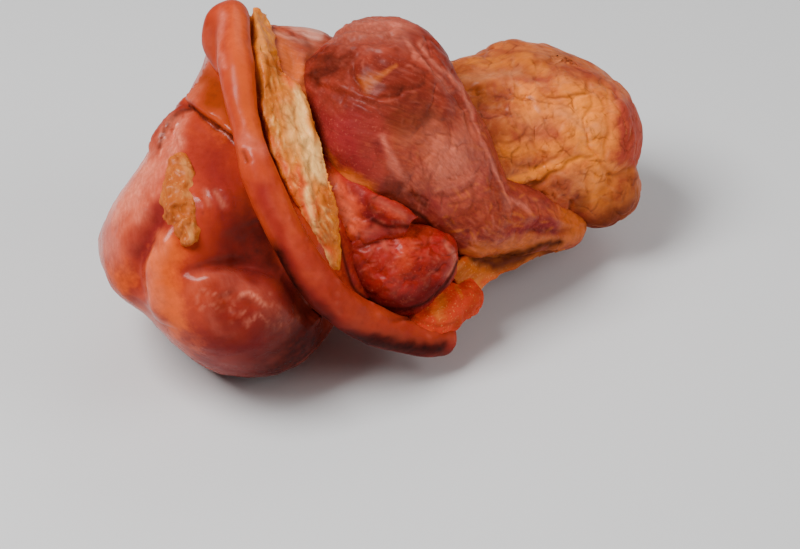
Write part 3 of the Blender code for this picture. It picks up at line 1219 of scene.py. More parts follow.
@dataclass
class RolledEdge(Piece):
    """The rind's rolled, cut edge, from its blunt end at the front round to the shank's end."""

    grain: float = 0.7
    front: Way = (
        (16.5, -22.5, 41), (8.5, -22.5, 49), (-2, -21, 58), (-14, -16, 69), (-24, -9.5, 79), (-33, 1.5, 86),
        (-40.5, 13.5, 90), (-47, 27, 92), (-52.5, 41.5, 92), (-56.5, 56, 91), (-58.5, 69, 87),
        (-60, 81.5, 79), (-60.5, 93, 66),
    )
    front_radii: Tuple[float, ...] = (6.4, 6.9, 7, 7, 7, 7, 6.8, 6.3, 5.8, 5.7, 6, 6.4, 6)
    back: Way = ((-48, 14, 108), (-40, 28, 93), (-23, 39, 77), (0, 48, 64), (20, 55, 55), (38, 61, 54))
    back_radii: Tuple[float, ...] = (5.5, 5.2, 5, 4.6, 4.4, 4.2)
    rim: Way = ((40.5, 74.5, -20), (55.5, 72, -20), (66, 68.5, -18), (72.5, 62, -16))
    rim_radii: Tuple[float, ...] = (4.2, 4.6, 4.6, 3.6)
    lobe: Way = ((-62, 95.5, 61), (-65, 91, 65), (-66, 84.5, 69), (-64.5, 79.5, 73), (-62, 73.5, 78))
    lobe_radii: Tuple[float, ...] = (4.4, 5.4, 5.4, 4.6, 3.4)
    bend: Path = (
        (-56, 45.5), (-50, 43), (-36.5, 20), (-25.5, -0.5), (11, -17.5), (11, -23), (-25.5, -11.5), (-50, 27),
    )
    # the bloom strands along the bend are painted highlight streaks
    strands: Tuple[Strands, ...] = (
        Strands(bend, 34, 3.4, -56, 24, 0.7, 0.15, BLOOM, 0.2, 33),
        Strands(bend, 20, 7, -56, 12, 1.2, -0.2, DEEP_AND_SHADE, 0.6, 34),
    )
    lines: Tuple[Line, ...] = (
        Line(((-58, 49), (-54.5, 46.5), (-50, 46)), 2, -0.8),
        Line(((-57.5, 45.5), (-55.5, 39.5)), 1.4, -0.8, 0.5),
        Line(((4.5, -14), (8, -17), (14, -18.5), (18, -18)), 1.3, -0.9, 0.6),
        Line(((-64.5, 94.5), (-65, 85.5), (-64.5, 77.5)), 1.4, -0.4),
    )
    # the deep and char bands along the lower edge are painted shade where the roll turns under; the bloom
    # bands along the upper left side are painted highlights
    marks: Tuple[Blot, ...] = (
        band(DEEP_AND_SHADE, ((-50, 30.5), (-42, 9.5), (-32, -8.5), (-18, -21.5), (0, -28), (18, -27.5)),
            4.5, 0.9),
        band(CHAR_AND_SHADE, ((-45, 8), (-35, -9.5), (-22, -21), (-7.5, -26), (14.5, -28)), 4, 0.9, 1.5),
        band(DEEP_AND_SHADE, ((-36.5, 9), (-27, -5.5), (-11, -16), (14.5, -21)), 9, 0.6, 3),
        band(AMBER, ((-59, 94.5), (-58, 81.5), (-56, 63.5), (-52.5, 50.5)), 4.6, 0.75),
        band(CHAR_AND_SHADE, ((-54, 94.5), (-52.5, 78), (-49.5, 60), (-45, 45.5), (-37, 28.5)), 0.9, 0.4),
        band(BLOOM, ((-64.5, 94.5), (-66, 85.5), (-64.5, 76)), 1.4, 0.7),
        band(BLOOM, ((-70.5, 89), (-70.5, 81)), 2, 0.2),
        band(CHAR_AND_SHADE, ((-69.5, 90.5), (-69, 77.5)), 4, 0.34),
        band(CHAR_AND_SHADE, ((-59.5, 76.5), (-59, 69.5), (-57.5, 62)), 5, 0.16),
        band(BLOOM, ((-56.5, 49.5), (-53, 46.5), (-50, 45.5)), 3, 0.55),
        band(BLOOM, ((-50, 36), (-45, 25), (-38, 11), (-28.5, -2.5)), 1.6, 0.08, 2),
    )

    def build(self) -> bpy.types.Object:
        """Run the roll along its way and give it its dents and colours."""
        way = [*map(self.sheet.place, self.front), *self.back, *map(self.sheet.place, self.rim)]
        roll = tube(way, self.front_radii + self.back_radii + self.rim_radii, "rolled_edge")
        lobe = tube([*map(self.sheet.place, self.lobe)], self.lobe_radii, "lobe")
        clay = self.clay(joined([roll, lobe], "rolled_edge"), passes=12)
        clay.draw(self.lines)
        clay.rough(size=16.0, height=0.7, seed=31)
        clay.rough(size=4.0, height=0.12, seed=32)
        clay.scatter(self.strands)
        clay.flow = clay.co.copy()
        clay.shade_low(top=22.0, bottom=2.0, strength=0.8)
        clay.lay(self.marks)
        return clay.finish(ROLLED)


@dataclass
class FatStrip(Piece):
    """The fibrous cream fat between the rolled edge and the muscles."""

    grain: float = 0.55
    left: Way = (
        (-55.5, 93.5, 58), (-54.5, 86, 71), (-54, 77.5, 81), (-52.5, 68, 86), (-51.5, 60, 88),
        (-49.5, 52, 89), (-46.5, 43, 89), (-42, 34.5, 89), (-38, 25, 88), (-33.5, 16, 86), (-29, 7.5, 81),
        (-26, 2.5, 75),
    )
    right: Way = (
        (-52.5, 92.5, 52), (-50, 85.5, 60), (-48.5, 80, 67), (-46.5, 73.5, 71), (-38.5, 64.5, 76),
        (-33.5, 52.5, 79), (-30.5, 44, 81), (-28.5, 34.5, 82), (-26, 25, 82), (-25, 16, 80),
        (-25.5, 7.5, 77), (-26, 2, 74),
    )
    way: Path = ((-51.5, 97.5), (-50, 81.5), (-46.5, 67), (-41.5, 49), (-35, 30.5), (-29, 15.5), (-26, 1))
    whole: Path = ((-54, 89), (-47.5, 78), (-35, 60), (-27, 30.5), (-26, 9), (-35, 20), (-47.5, 49))
    strands: Tuple[Strands, ...] = (
        Strands(whole, 70, 9, -66, 12, 0.45, -0.35, CHAR_AND_SHADE, 0.5, 45),
        Strands(whole, 50, 7, -66, 12, 0.4, 0.25, BLOOM, 0.6, 46),
    )
    lines: Tuple[Line, ...] = (
        Line(((-44.5, 81.5), (-43.5, 73.5), (-41, 66.5)), 1.2, -0.9, 0.3),
        Line(((-48, 56), (-43.5, 43), (-38, 31.5)), 1.1, -0.7, 0.25),
        Line(((-35, 45.5), (-30.5, 30.5), (-28.5, 17.5)), 1.1, -0.8, 0.25),
        Line(((-36.5, 66.5), (-35.5, 62), (-34, 55.5), (-30.5, 46.5)), 1.6, 1.3),
        Line(((-34, 32), (-32, 25), (-30.5, 17)), 1.4, 1),
    )
    marks: Tuple[Blot, ...] = (
        patch(AMBER, ((-54.5, 89), (-50, 87.5), (-46.5, 77.5), (-42, 67), (-39.5, 56), (-42, 52),
            (-50, 62)), 5, 0.6, 2.5),
        band(BLOOM, ((-54, 94.5), (-51.5, 86.5), (-49.5, 79.5)), 2.4, 0.15, 2),
        band(DEEP_AND_SHADE, ((-52.5, 66.5), (-49.5, 54.5), (-43.5, 40), (-36.5, 25), (-30, 11), (-26, 3)),
            2.4, 0.6, 1.5),
        band(DEEP_AND_SHADE, ((-32.5, 25.5), (-30, 17.5), (-27.5, 9.5)), 3.6, 0.95, 2),
        band(DEEP_AND_SHADE, ((-38, 36), (-33.5, 27), (-30.5, 18.5)), 3.2, 0.75, 2),
        band(DEEP_AND_SHADE, ((-43, 76.5), (-40.5, 71.5), (-38, 68)), 2.2, 0.6),
        band(AMBER, ((-29, 38.5), (-26, 27), (-25, 12.5)), 3, 0.8, 2),
        patch(BLOOM, ((-42, 62.5), (-37, 60.5), (-35.5, 45.5), (-39, 44), (-42, 53.5)), 3, 0.6, 2),
        patch(BLOOM, ((-37.5, 68), (-34, 63.5), (-33.5, 54.5), (-29, 48), (-27.5, 35), (-33.5, 35),
            (-36, 41.5), (-36.5, 50.5), (-37, 56), (-38.5, 61.5)), 3, 1, 2),
        patch(AMBER, ((-48, 60), (-40, 59), (-37, 45.5), (-33.5, 33), (-38.5, 33), (-45, 45.5)),
            5, 0.3, 3),
        band(BLOOM, ((-37.5, 66.5), (-35.5, 61.5), (-35, 55.5), (-32.5, 50.5), (-30, 42.5)),
            1.6, 1, 0.5),
        band(BLOOM, ((-35, 37.5), (-33, 30.5), (-32, 25.5)), 1.2, 0.7, 1.5),
        band(BLOOM, ((-34, 32), (-32.5, 25), (-30, 15.5)), 1.2, 0.9),
        band(BLOOM, ((-30.5, 11), (-27.5, 6.5), (-26.5, 4)), 1.4, 0.9),
        band(CHAR_AND_SHADE, ((-47.5, 81), (-43.5, 71.5), (-40, 63.5), (-38, 54.5)), 1.1, 0.4, 1.5),
        band(CHAR_AND_SHADE, ((-50, 69.5), (-48, 59), (-43.5, 47.5)), 1, 0.35, 1.5),
    )

    def build(self) -> bpy.types.Object:
        """Lay the slab and raise its fibres."""
        slab = ribbon(self.sheet, self.left, self.right, "fat_strip", crown=1.2, thickness=9.0)
        clay = self.clay(slab, passes=3)
        clay.follow(self.way)
        clay.rough(size=7.0, height=0.8, seed=43)
        clay.rough(size=2.6, height=0.35, seed=44)
        clay.fibres(length=14.0, width=2.4, height=0.4, seed=41)
        clay.fibres(length=7.0, width=1.1, height=0.22, seed=42)
        clay.scatter(self.strands)
        clay.draw(self.lines)
        clay.lay(self.marks)
        return clay.finish(FAT)


@dataclass
class InnerRind(Piece):
    """The smooth pink inside of the rind that dips between the fat strip and the big muscle."""

    grain: float = 0.9
    masses: Tuple[Mass, ...] = (
        Mass((-27, 10, 80), (24, 32, 20.5), (0, 8, 0)),
        Mass((-38, 9, 87), (13, 25, 17.5)),
        Mass((-23, -4, 60), (14, 18, 16)),
    )
    way: Path = ((-51.5, 96), (-40, 92), (-28.5, 87.5))
    lines: Tuple[Line, ...] = (
        Line(((-50, 92.5), (-40.5, 89.5), (-29, 86.5)), 0.9, -0.6, 0.35, 1),
        Line(((-48.5, 90.5), (-39.5, 87.5), (-29, 85.5)), 0.9, -0.5, 0.3, 1),
        Line(((-47.5, 88), (-38.5, 85), (-30.5, 83)), 1, -0.4, 0.2, 1),
        Line(((-49.5, 91.5), (-40, 88.5), (-29, 86)), 0.8, 0.4),
        Line(((-42, 83), (-38.5, 77.5), (-37, 70)), 1.6, -0.6),
        Line(((-34, 81.5), (-35, 76), (-37, 68)), 1.4, 0.6),
    )
    # the bloom bands along the top are painted highlights on the wrinkles
    marks: Tuple[Blot, ...] = (
        band(AMBER, ((-44.5, 81.5), (-40, 73), (-37.5, 66.5)), 6, 0.9, 2),
        band(CHAR_AND_SHADE, ((-32, 84.5), (-32, 78), (-35, 68)), 2.4, 0.6, 2),
        band(DEEP_AND_SHADE, ((-50, 91), (-38.5, 86.5), (-27.5, 84.5)), 4, 0.4, 1.5),
        band(BLOOM, ((-51, 94.5), (-43.5, 92), (-36.5, 89.5), (-28.5, 87)), 1.4, 0.6, 1.5),
        band(BLOOM, ((-48, 89), (-39.5, 86), (-30.5, 84)), 0.8, 0.3, 1.5),
    )

    def build(self) -> bpy.types.Object:
        """Stretch the skin over the hollow and wrinkle its top."""
        clay = self.clay(taut(self.masses, "inner_rind"), passes=4)
        clay.follow(self.way)
        clay.rough(size=12.0, height=0.5, seed=51)
        clay.crumple(size=9.0, height=0.5, char=0.25, seed=53)
        clay.draw(self.lines)
        clay.lay(self.marks)
        return clay.finish(INNER)


@dataclass
class BigMuscle(Piece):
    """The large bared muscle, from its dome at the top down to the shank."""

    dome: Tuple[Mass, ...] = (
        Mass((3, 0, 77), (28, 36, 36)),
        Mass((-14, -3, 92), (12, 16, 14)),
        Mass((21, -6, 62), (20, 27, 27)),
        Mass((34, -11, 46), (16, 17, 16)),
    )
    tail: Tuple[Mass, ...] = (
        Mass((34, -10, 45), (16, 17, 15)),
        Mass((50, 1, 32), (13, 12, 12)),
        Mass((64, 15, 21), (12, 9, 9)),
    )
    way: Path = ((-36.5, 78), (-17.5, 63.5), (0, 57), (14.5, 49), (32.5, 30.5), (58, 19), (77, 17))
    sheath: Path = ((-1.5, 57.5), (25.5, 59), (33.5, 38), (36.5, 14), (14.5, 15.5), (1.5, 28.5))
    lower: Path = ((8.5, 31.5), (36.5, 34.5), (58, 22), (69, 14), (36.5, 6.5), (16.5, 12.5))
    crown: Path = ((-32, 78), (-18, 92), (1.5, 90.5), (16.5, 72), (25.5, 59), (0, 57), (-30.5, 65))
    strands: Tuple[Strands, ...] = (
        Strands(sheath, 60, 7, -52, 24, 0.5, -0.3, CHAR_AND_SHADE, 0.42, 66),
        Strands(sheath, 50, 6, -60, 30, 0.45, 0.2, BLOOM, 0.4, 67),
        Strands(lower, 46, 8, -22, 24, 0.8, -0.25, DEEP_AND_SHADE, 0.8, 71),
        Strands(lower, 40, 6, -22, 30, 0.6, 0.2, AMBER, 0.75, 72),
        Strands(sheath, 36, 8, -50, 30, 0.7, 0.2, AMBER, 0.5, 75),
        Strands(crown, 46, 8, -20, 24, 0.5, -0.3, CHAR_AND_SHADE, 0.42, 68),
        Strands(crown, 40, 7, -28, 24, 0.45, 0.2, BLOOM, 0.3, 69),
    )
    knobs: Tuple[Knob, ...] = (((-18, 47), 11, 1.8), ((-3.5, 73.5), 10, 1), ((-27.5, 76.5), 7, -1.6))
    lines: Tuple[Line, ...] = (
        Line(((-14.5, 81.5), (-16.5, 79), (-17, 73.5), (-15.5, 69.5), (-13, 66.5), (-7.5, 64.5),
            (-1, 65.5), (4.5, 67.5), (11, 69.5)), 0.9, -0.8, 0.6, 1.2),
        Line(((-35.5, 73.5), (-24, 70), (-12.5, 65.5), (-1, 61), (5, 59.5)), 1.5, 0.9),
        Line(((-33.5, 69.5), (-23.5, 66.5), (-14, 62.5), (-3, 58.5)), 1.2, -0.6, 0.25),
        Line(((-30.5, 70.5), (-22, 66.5), (-16, 62), (-6, 56)), 1.2, 0.6),
        Line(((7.5, 84), (13, 78.5), (16.5, 73.5), (23.5, 66), (27, 56), (30, 48), (33.5, 41),
            (36.5, 30.5)), 1.3, 0.7, wander=1.2),
        Line(((4.5, 83), (10, 77.5), (14.5, 70.5), (21, 64), (24.5, 56), (27, 49)), 1.3, -0.8, 0.3),
        Line(((0, 86), (6.5, 80), (11.5, 73), (17.5, 67)), 1.4, 0.8),
        Line(((-30, 84), (-22, 84.5), (-13, 84), (-4.5, 86), (3.5, 87.5)), 1.2, -0.7, 0.3, 0.9),
        Line(((-29, 85.5), (-18, 86.5), (-6, 88), (3, 88.5)), 1.1, 0.6, wander=1.2),
        Line(((-28.5, 87.5), (-18, 88), (-6, 90), (1.5, 89.5)), 1, -0.7, 0.25, 1.2),
        Line(((-27, 89.5), (-17.5, 90.5), (-6.5, 92), (0.5, 90.5)), 1, 0.5, wander=1.2),
        Line(((-25, 90.5), (-17.5, 93), (-7.5, 93.5), (0.5, 92)), 1, -0.6, 0.2, 1.2),
        Line(((-25.5, 81.5), (-16, 82), (-6, 82.5), (3, 84)), 1.2, 0.7, wander=1.5),
        Line(((-32, 81), (-24, 81.5), (-16, 81)), 1.4, -0.8, 0.4),
        Line(((-8, 49.5), (-7, 44.5), (-3.5, 39.5), (0, 32), (4.5, 28)), 2, -1.2),
        Line(((-6, 52), (-3.5, 46), (-0.5, 39.5), (3, 33.5)), 2, 0.8),
        Line(((25.5, 35), (27.5, 28.5), (24.5, 21.5)), 1.3, -0.7, 0.3),
        Line(((11, 28.5), (19, 28.5), (29, 33.5)), 1.2, -0.6, 0.25),
        Line(((39.5, 18.5), (48, 21), (56.5, 20), (65.5, 17)), 1.8, 1),
        Line(((43, 15.5), (52.5, 16), (63.5, 16)), 1.4, -0.8, 0.4),
        Line(((-28.5, 45.5), (-25.5, 38.5), (-19.5, 34.5), (-12.5, 32)), 2.2, 1),
    )
    # the large bloom patch on the right side is a painted sheen; the char bands along the lower and left
    # borders are painted crevice shade; the char patches darken the dome's upper left
    marks: Tuple[Blot, ...] = (
        patch(CHAR_AND_SHADE, ((-35, 83), (-25.5, 82.5), (-16, 81.5), (-17.5, 72), (-25.5, 70.5), (-37, 66.5)),
            7, 0.75, 4),
        patch(CHAR_AND_SHADE, ((-34, 81), (0, 83), (14.5, 70), (16.5, 59), (0, 54), (-25.5, 60.5)), 14, 0.4, 4),
        band(CHAR_AND_SHADE, ((-6, 57.5), (2, 56), (10, 57.5)), 5, 0.55, 3),
        band(CHAR_AND_SHADE, ((-29, 65), (-20.5, 62), (-10, 58.5)), 3, 0.3, 2.5),
        band(CHAR_AND_SHADE, ((-8, 69.5), (1.5, 68.5)), 3.6, 0.6, 2),
        patch(AMBER, ((-15, 71), (-11.5, 72.5), (-7.5, 72.5), (-9.5, 69.5), (-12.5, 66.5)),
            2.4, 0.75, 1),
        band(AMBER, ((-11, 70.5), (-6, 73.5), (-1.5, 76)), 0.9, 0.65, 0.8),
        patch(DEEP_AND_SHADE, ((-32, 61.5), (-22, 60.5), (-11.5, 56), (-8.5, 45.5), (-11.5, 33.5), (-20.5, 36),
            (-28.5, 45.5)), 13, 0.95, 3),
        band(AMBER, ((-29, 43), (-24, 37.5), (-17.5, 34.5), (-11.5, 31.5)), 2.6, 0.95, 1.5),
        patch(AMBER, ((-6, 59), (11, 62), (25.5, 57.5), (30.5, 41.5), (25.5, 30.5), (7.5, 28.5),
            (-4.5, 45.5)), 18, 0.3, 5),
        patch(BLOOM, ((0, 53.5), (13, 57.5), (24, 54.5), (28.5, 41.5), (21, 29.5), (6.5, 32),
            (-0.5, 41.5)), 20, 0.2, 4),
        patch(BLOOM, ((10, 52), (22.5, 49.5), (27, 39.5), (20.5, 31.5), (11.5, 38)), 16, 0.8, 4),
        band(DEEP_AND_SHADE, ((1.5, 45.5), (7.5, 38.5), (13, 36)), 2.4, 0.5, 2.5),
        band(DEEP_AND_SHADE, ((8.5, 25.5), (16.5, 28), (27, 28.5), (29, 36)), 3.4, 0.8, 3),
        band(BLOOM, ((13, 30.5), (20.5, 32), (27, 36)), 1, 0.5, 1.5),
        band(CHAR_AND_SHADE, ((3, 28), (6, 28.5), (8.5, 25.5)), 1.6, 0.5),
        band(BLOOM, ((-7.5, 49.5), (-4.5, 44.5), (-0.5, 37.5), (2, 32)), 1.8, 0.6, 1.5),
        band(BLOOM, ((7.5, 84), (16.5, 73), (23.5, 65.5), (27, 56), (30.5, 47.5), (34, 38.5),
            (38.5, 30), (46, 22.5)), 1, 0.6, 1.5),
        band(BLOOM, ((1.5, 86), (11, 74.5), (18, 67)), 1.2, 0.5, 1.5),
        band(BLOOM, ((-27, 89.5), (-17.5, 90.5), (-6.5, 92), (0.5, 90.5)), 1.6, 0.75, 1.5),
        band(BLOOM, ((-25.5, 85.5), (-14.5, 86.5), (0, 88.5)), 1.6, 0.6, 1.5),
        patch(BLOOM, ((-27, 90.5), (-18, 94), (-6, 94.5), (4.5, 90.5), (0, 84), (-22, 84)), 6, 0.7, 3),
        patch(CHAR_AND_SHADE, ((-28.5, 89), (-18, 94.5), (-6, 94.5), (8.5, 85.5), (0, 81.5), (-25.5, 81)),
            6, 0.5, 3),
        patch(AMBER, ((14.5, 30), (28.5, 36), (36.5, 30.5), (51, 25.5), (58, 22), (36.5, 12.5),
            (18, 14)), 8, 0.25, 3),
        patch(DEEP_AND_SHADE, ((16.5, 29.5), (28.5, 33.5), (33.5, 25.5), (36.5, 19), (25.5, 12.5), (14.5, 17.5)),
            6, 0.85, 3),
        patch(BLOOM, ((34, 36), (48.5, 30.5), (60.5, 24), (57.5, 20), (38.5, 22.5)), 5, 0.16, 3),
        band(DEEP_AND_SHADE, ((40, 16), (52.5, 17), (64, 16.5)), 3, 0.8, 2.5),
        band(AMBER, ((36.5, 9), (51, 11), (67, 14.5)), 3, 0.8, 2),
        patch(AMBER, ((58, 25.5), (71.5, 21.5), (71.5, 11), (55.5, 12), (59, 17.5)), 5, 0.9, 2.5),
        band(CHAR_AND_SHADE, ((25.5, 4), (36.5, 6.5), (47.5, 9), (57.5, 12)), 1.6, 0.85, 0.8),
        patch(CHAR_AND_SHADE, ((-6, 36), (0, 35), (4.5, 28.5), (0, 25.5), (-7.5, 29.5)), 3, 0.5, 2),
        band(CHAR_AND_SHADE, ((-29.5, 44.5), (-27, 38.5), (-21, 34), (-14, 31.5), (-8, 27), (0, 25), (7.5, 21.5),
            (11.5, 17), (16.5, 12.5), (21, 8)), 0.9, 0.85, 0.5),
        band(CHAR_AND_SHADE, ((-36.5, 67), (-34.5, 56), (-30, 49), (-28.5, 43.5)), 1.2, 0.7, 0.5),
        band(AMBER, ((23.5, 9), (32.5, 9), (47.5, 12)), 3, 0.7, 2),
    )
    calm: Path = ((-34, 62), (-20, 61.5), (-8.5, 55.5), (-5, 41.5), (-10, 30), (-30, 44.5))

    def build(self) -> bpy.types.Object:
        """Stretch the muscle's skin, raise its fibres and draw its strands and hollows."""
        both = joined([taut(self.dome, "dome", detail=5), taut(self.tail, "tail", detail=5)], "big_muscle")
        clay = self.clay(both, passes=24)
        clay.follow(self.way)
        clay.bulge(self.knobs)
        smooth = inside(self.calm, soft=8.0, spots=self.sheet.flatten(clay.co))
        clay.rough(size=14.0, height=0.8, seed=64)
        clay.fibres(length=26.0, width=4.5, height=0.45, seed=61, where=1.0 - 0.7 * smooth)
        clay.fibres(length=12.0, width=2.0, height=0.16, seed=62, where=1.0 - 0.7 * smooth)
        clay.crumple(size=8.0, height=0.30, char=0.22, seed=65, where=1.0 - 0.8 * smooth)
        clay.draw(self.lines)
        clay.rough(size=3.2, height=0.14, seed=63)
        clay.scatter(self.strands)
        clay.lay(self.marks)
        return clay.finish(LEAN)


@dataclass
class ShankFace(Piece):
    """The golden membrane over the front and top of the shank."""

    grain: float = 0.65
    masses: Tuple[Mass, ...] = (
        Mass((59, 41, 42), (37.5, 34, 34.5), (0, 14, 0)),
        Mass((36, 30, 50), (28, 32, 27)),
        Mass((78, 30, 30), (17.5, 19, 15), (0, 0, 20)),
    )
    face: Path = ((28.5, 76), (58, 76.5), (75, 67), (75, 27), (51, 25.5), (36.5, 38))
    strands: Tuple[Strands, ...] = (
        Strands(face, 90, 6, 0, 70, 0.42, -0.35, CHAR_AND_SHADE, 0.6, 78),
        Strands(face, 60, 5, 40, 70, 0.5, 0.2, BLOOM, 0.45, 79),
        Strands(face, 60, 8, 20, 60, 1, -0.15, DEEP_AND_SHADE, 0.6, 76),
    )
    knobs: Tuple[Knob, ...] = (
        ((64, 80), 14, -4), ((38.5, 82.5), 8, 1.6), ((30, 63.5), 8, -2.4), ((52.5, 56), 14, 1.2),
        ((58, 37.5), 8, 1), ((80.5, 60), 6, 1), ((81.5, 49), 6, 1),
    )
    lines: Tuple[Line, ...] = (
        Line(((72.5, 70.5), (75.5, 65.5), (76.5, 59), (76.5, 52.5), (74.5, 45.5), (77, 38.5)),
            1.4, -0.72, 0.22, 1.2),
        Line(((81.5, 46.5), (83, 50.5), (83.5, 54.5)), 1, -0.24, 0.3, 1.3),
        Line(((15.5, 77.5), (22, 75), (30, 76), (40.5, 78), (52.5, 80)), 1.4, 0.6, wander=1.3),
        Line(((16.5, 74.5), (24, 73), (32.5, 73.5), (43.5, 76)), 1.2, -0.48, 0.38, 1.3),
        Line(((19.5, 70), (28.5, 70), (39.5, 72.5), (43.5, 73)), 1.6, 0.66, wander=1.3),
        Line(((22.5, 67), (29, 67.5), (37, 69.5)), 1.6, -0.6, 0.45, 1.3),
        Line(((28, 68.5), (28.5, 64.5)), 1.7, -1.2, 0.75, 1.3),
        Line(((40.5, 73), (40.5, 64), (41, 48.5)), 1.2, 0.42, wander=1.3),
        Line(((39, 70.5), (39, 64), (39.5, 51)), 1, -0.36, 0.34, 1.3),
        Line(((26.5, 60), (33.5, 59.5), (40.5, 59.5)), 1, -0.36, 0.34, 1.3),
        Line(((31.5, 47), (36.5, 48), (42, 49), (48.5, 50.5), (54, 50)), 1.1, -0.36, 0.41, 1.3),
        Line(((51, 68), (53.5, 65), (62, 65.5), (67.5, 66), (70.5, 67)), 1, -0.48, 0.64, 1.3),
        Line(((70, 68), (70, 62), (67.5, 58.5)), 1, -0.42, 0.38, 1.3),
        Line(((43, 31.5), (47.5, 33), (51.5, 34.5), (58, 38.5), (62.5, 41.5), (67, 42.5), (72.5, 42.5)),
            1.3, -0.72, 0.56, 1.3),
        Line(((40, 33), (46.5, 34.5), (52.5, 37), (59, 40.5)), 1.4, 0.6, wander=1.3),
        Line(((44.5, 29.5), (51, 31.5), (57.5, 35), (63.5, 38.5)), 1.4, 0.6, wander=1.3),
        Line(((38, 41.5), (44.5, 40), (52.5, 40.5), (58, 43), (60.5, 48)), 1.1, -0.42, 0.41, 1.3),
        Line(((55.5, 34.5), (57.5, 30), (60.5, 27)), 1.1, -0.42, 0.38, 1.3),
        Line(((62.5, 28), (62, 24), (63, 20.5)), 1.1, -0.6, 0.64, 1.3),
        Line(((62, 29.5), (66, 30), (70.5, 29.5)), 1.1, -0.36, 0.38, 1.3),
        Line(((75, 36), (78.5, 36.5), (83, 38), (85, 39.5)), 1.5, -0.9, 0.52, 1.3),
        Line(((43.5, 59), (46, 53.5), (44.5, 49)), 1, -0.3, 0.3, 1.3),
        Line(((49, 69), (52.5, 65.5), (54, 62), (52.5, 59)), 1, -0.3, 0.34, 1.3),
        Line(((60.5, 60), (64, 55.5), (68.5, 51)), 1.1, -0.3, 0.26, 1.3),
        Line(((56.5, 62), (62, 59), (67, 60)), 1, -0.3, 0.26, 1.3),
        Line(((27, 52), (30, 45.5), (33.5, 40)), 1.6, -0.48, 0.52, 1.3),
    )
    # the char band and patch along the bottom edge and the dark patches on the left are painted shade
    # together with the brown crust
    marks: Tuple[Blot, ...] = (
        band(AMBER, ((25.5, 78.5), (31.5, 76.5), (43.5, 78), (54, 73.5)), 2, 0.5, 2),
        patch(CHAR_AND_SHADE, ((14.5, 81), (36.5, 86.5), (58, 83), (76.5, 76.5), (72.5, 69.5), (43.5, 69.5),
            (18, 70.5)), 8, 0.42, 4),
        patch(AMBER, ((58, 69.5), (74, 65), (75.5, 52.5), (75, 34.5), (74, 25), (69, 27), (67, 41.5),
            (60.5, 49)), 8, 0.85),
        band(AMBER, ((39.5, 33), (47.5, 36), (56.5, 40), (65.5, 43)), 2.2, 0.9),
        band(AMBER, ((38, 44.5), (47.5, 45.5), (56.5, 45.5)), 4, 0.5),
        patch(CHAR_AND_SHADE, ((62.5, 29.5), (70, 30), (70.5, 25), (67, 21.5), (63, 20.5)), 2, 0.55, 0.6),
        patch(CHAR_AND_SHADE, ((24, 69.5), (38.5, 69.5), (39.5, 61.5), (27, 60.5)), 4, 0.5),
        patch(DEEP_AND_SHADE, ((26, 60), (39.5, 59), (39.5, 49.5), (32, 47.5)), 4, 0.6),
        patch(CHAR_AND_SHADE, ((29, 59), (40.5, 58.5), (41.5, 49.5), (32.5, 48)), 5, 0.3, 2),
        patch(DEEP_AND_SHADE, ((43.5, 57.5), (54, 54.5), (56.5, 49), (54, 41), (42, 41.5)), 6, 0.5),
        patch(AMBER, ((43.5, 69.5), (58, 67), (60.5, 56), (49.5, 54.5), (43, 60.5)), 7, 0.5, 3),
        patch(DEEP_AND_SHADE, ((57.5, 78.5), (72.5, 76.5), (76.5, 70.5), (67.5, 69.5), (59, 72)), 4, 0.6),
        patch(DEEP_AND_SHADE, ((47.5, 33), (60.5, 36), (62.5, 28.5), (60.5, 25), (49.5, 27)), 4, 0.5),
        band(DEEP_AND_SHADE, ((58, 11), (72.5, 17), (87.5, 25)), 4, 0.5),
        band(CHAR_AND_SHADE, ((58, 11), (74, 17.5), (88, 25.5)), 8, 0.75, 2),
        patch(CHAR_AND_SHADE, ((75, 35), (87.5, 37.5), (91, 23.5), (72.5, 14), (58, 14), (67, 22.5)), 6, 0.52, 3),
        patch(DEEP_AND_SHADE, ((74, 70), (77, 63.5), (77.5, 54), (75.5, 44.5), (78.5, 38), (91, 37.5),
            (91, 71.5)), 3.2, 0.95, 2.6),
        band(BLOOM, ((72.5, 76), (78, 71.5), (82, 65.5)), 2.4, 0.5),
        band(DEEP_AND_SHADE, ((36.5, 72), (47.5, 70), (55.5, 71.5)), 2.5, 0.4, 2),
        band(DEEP_AND_SHADE, ((56.5, 27), (64.5, 22.5), (70, 17)), 5, 0.6, 2.5),
        band(BLOOM, ((58, 59), (65.5, 54), (71.5, 53.5)), 2.4, 0.5, 2),
        band(CHAR_AND_SHADE, ((49.5, 68.5), (52.5, 62), (51, 57)), 1.4, 0.3, 2),
        band(BLOOM, ((22, 70.5), (32.5, 72), (43, 74)), 1.6, 0.6),
        band(BLOOM, ((51, 81), (58, 78.5)), 2, 0.5),
        patch(BLOOM, ((42, 57.5), (51, 59), (55.5, 54), (47.5, 49)), 6, 0.3),
    )
    red_from: float = 86.0
    red_soft: float = 6.0

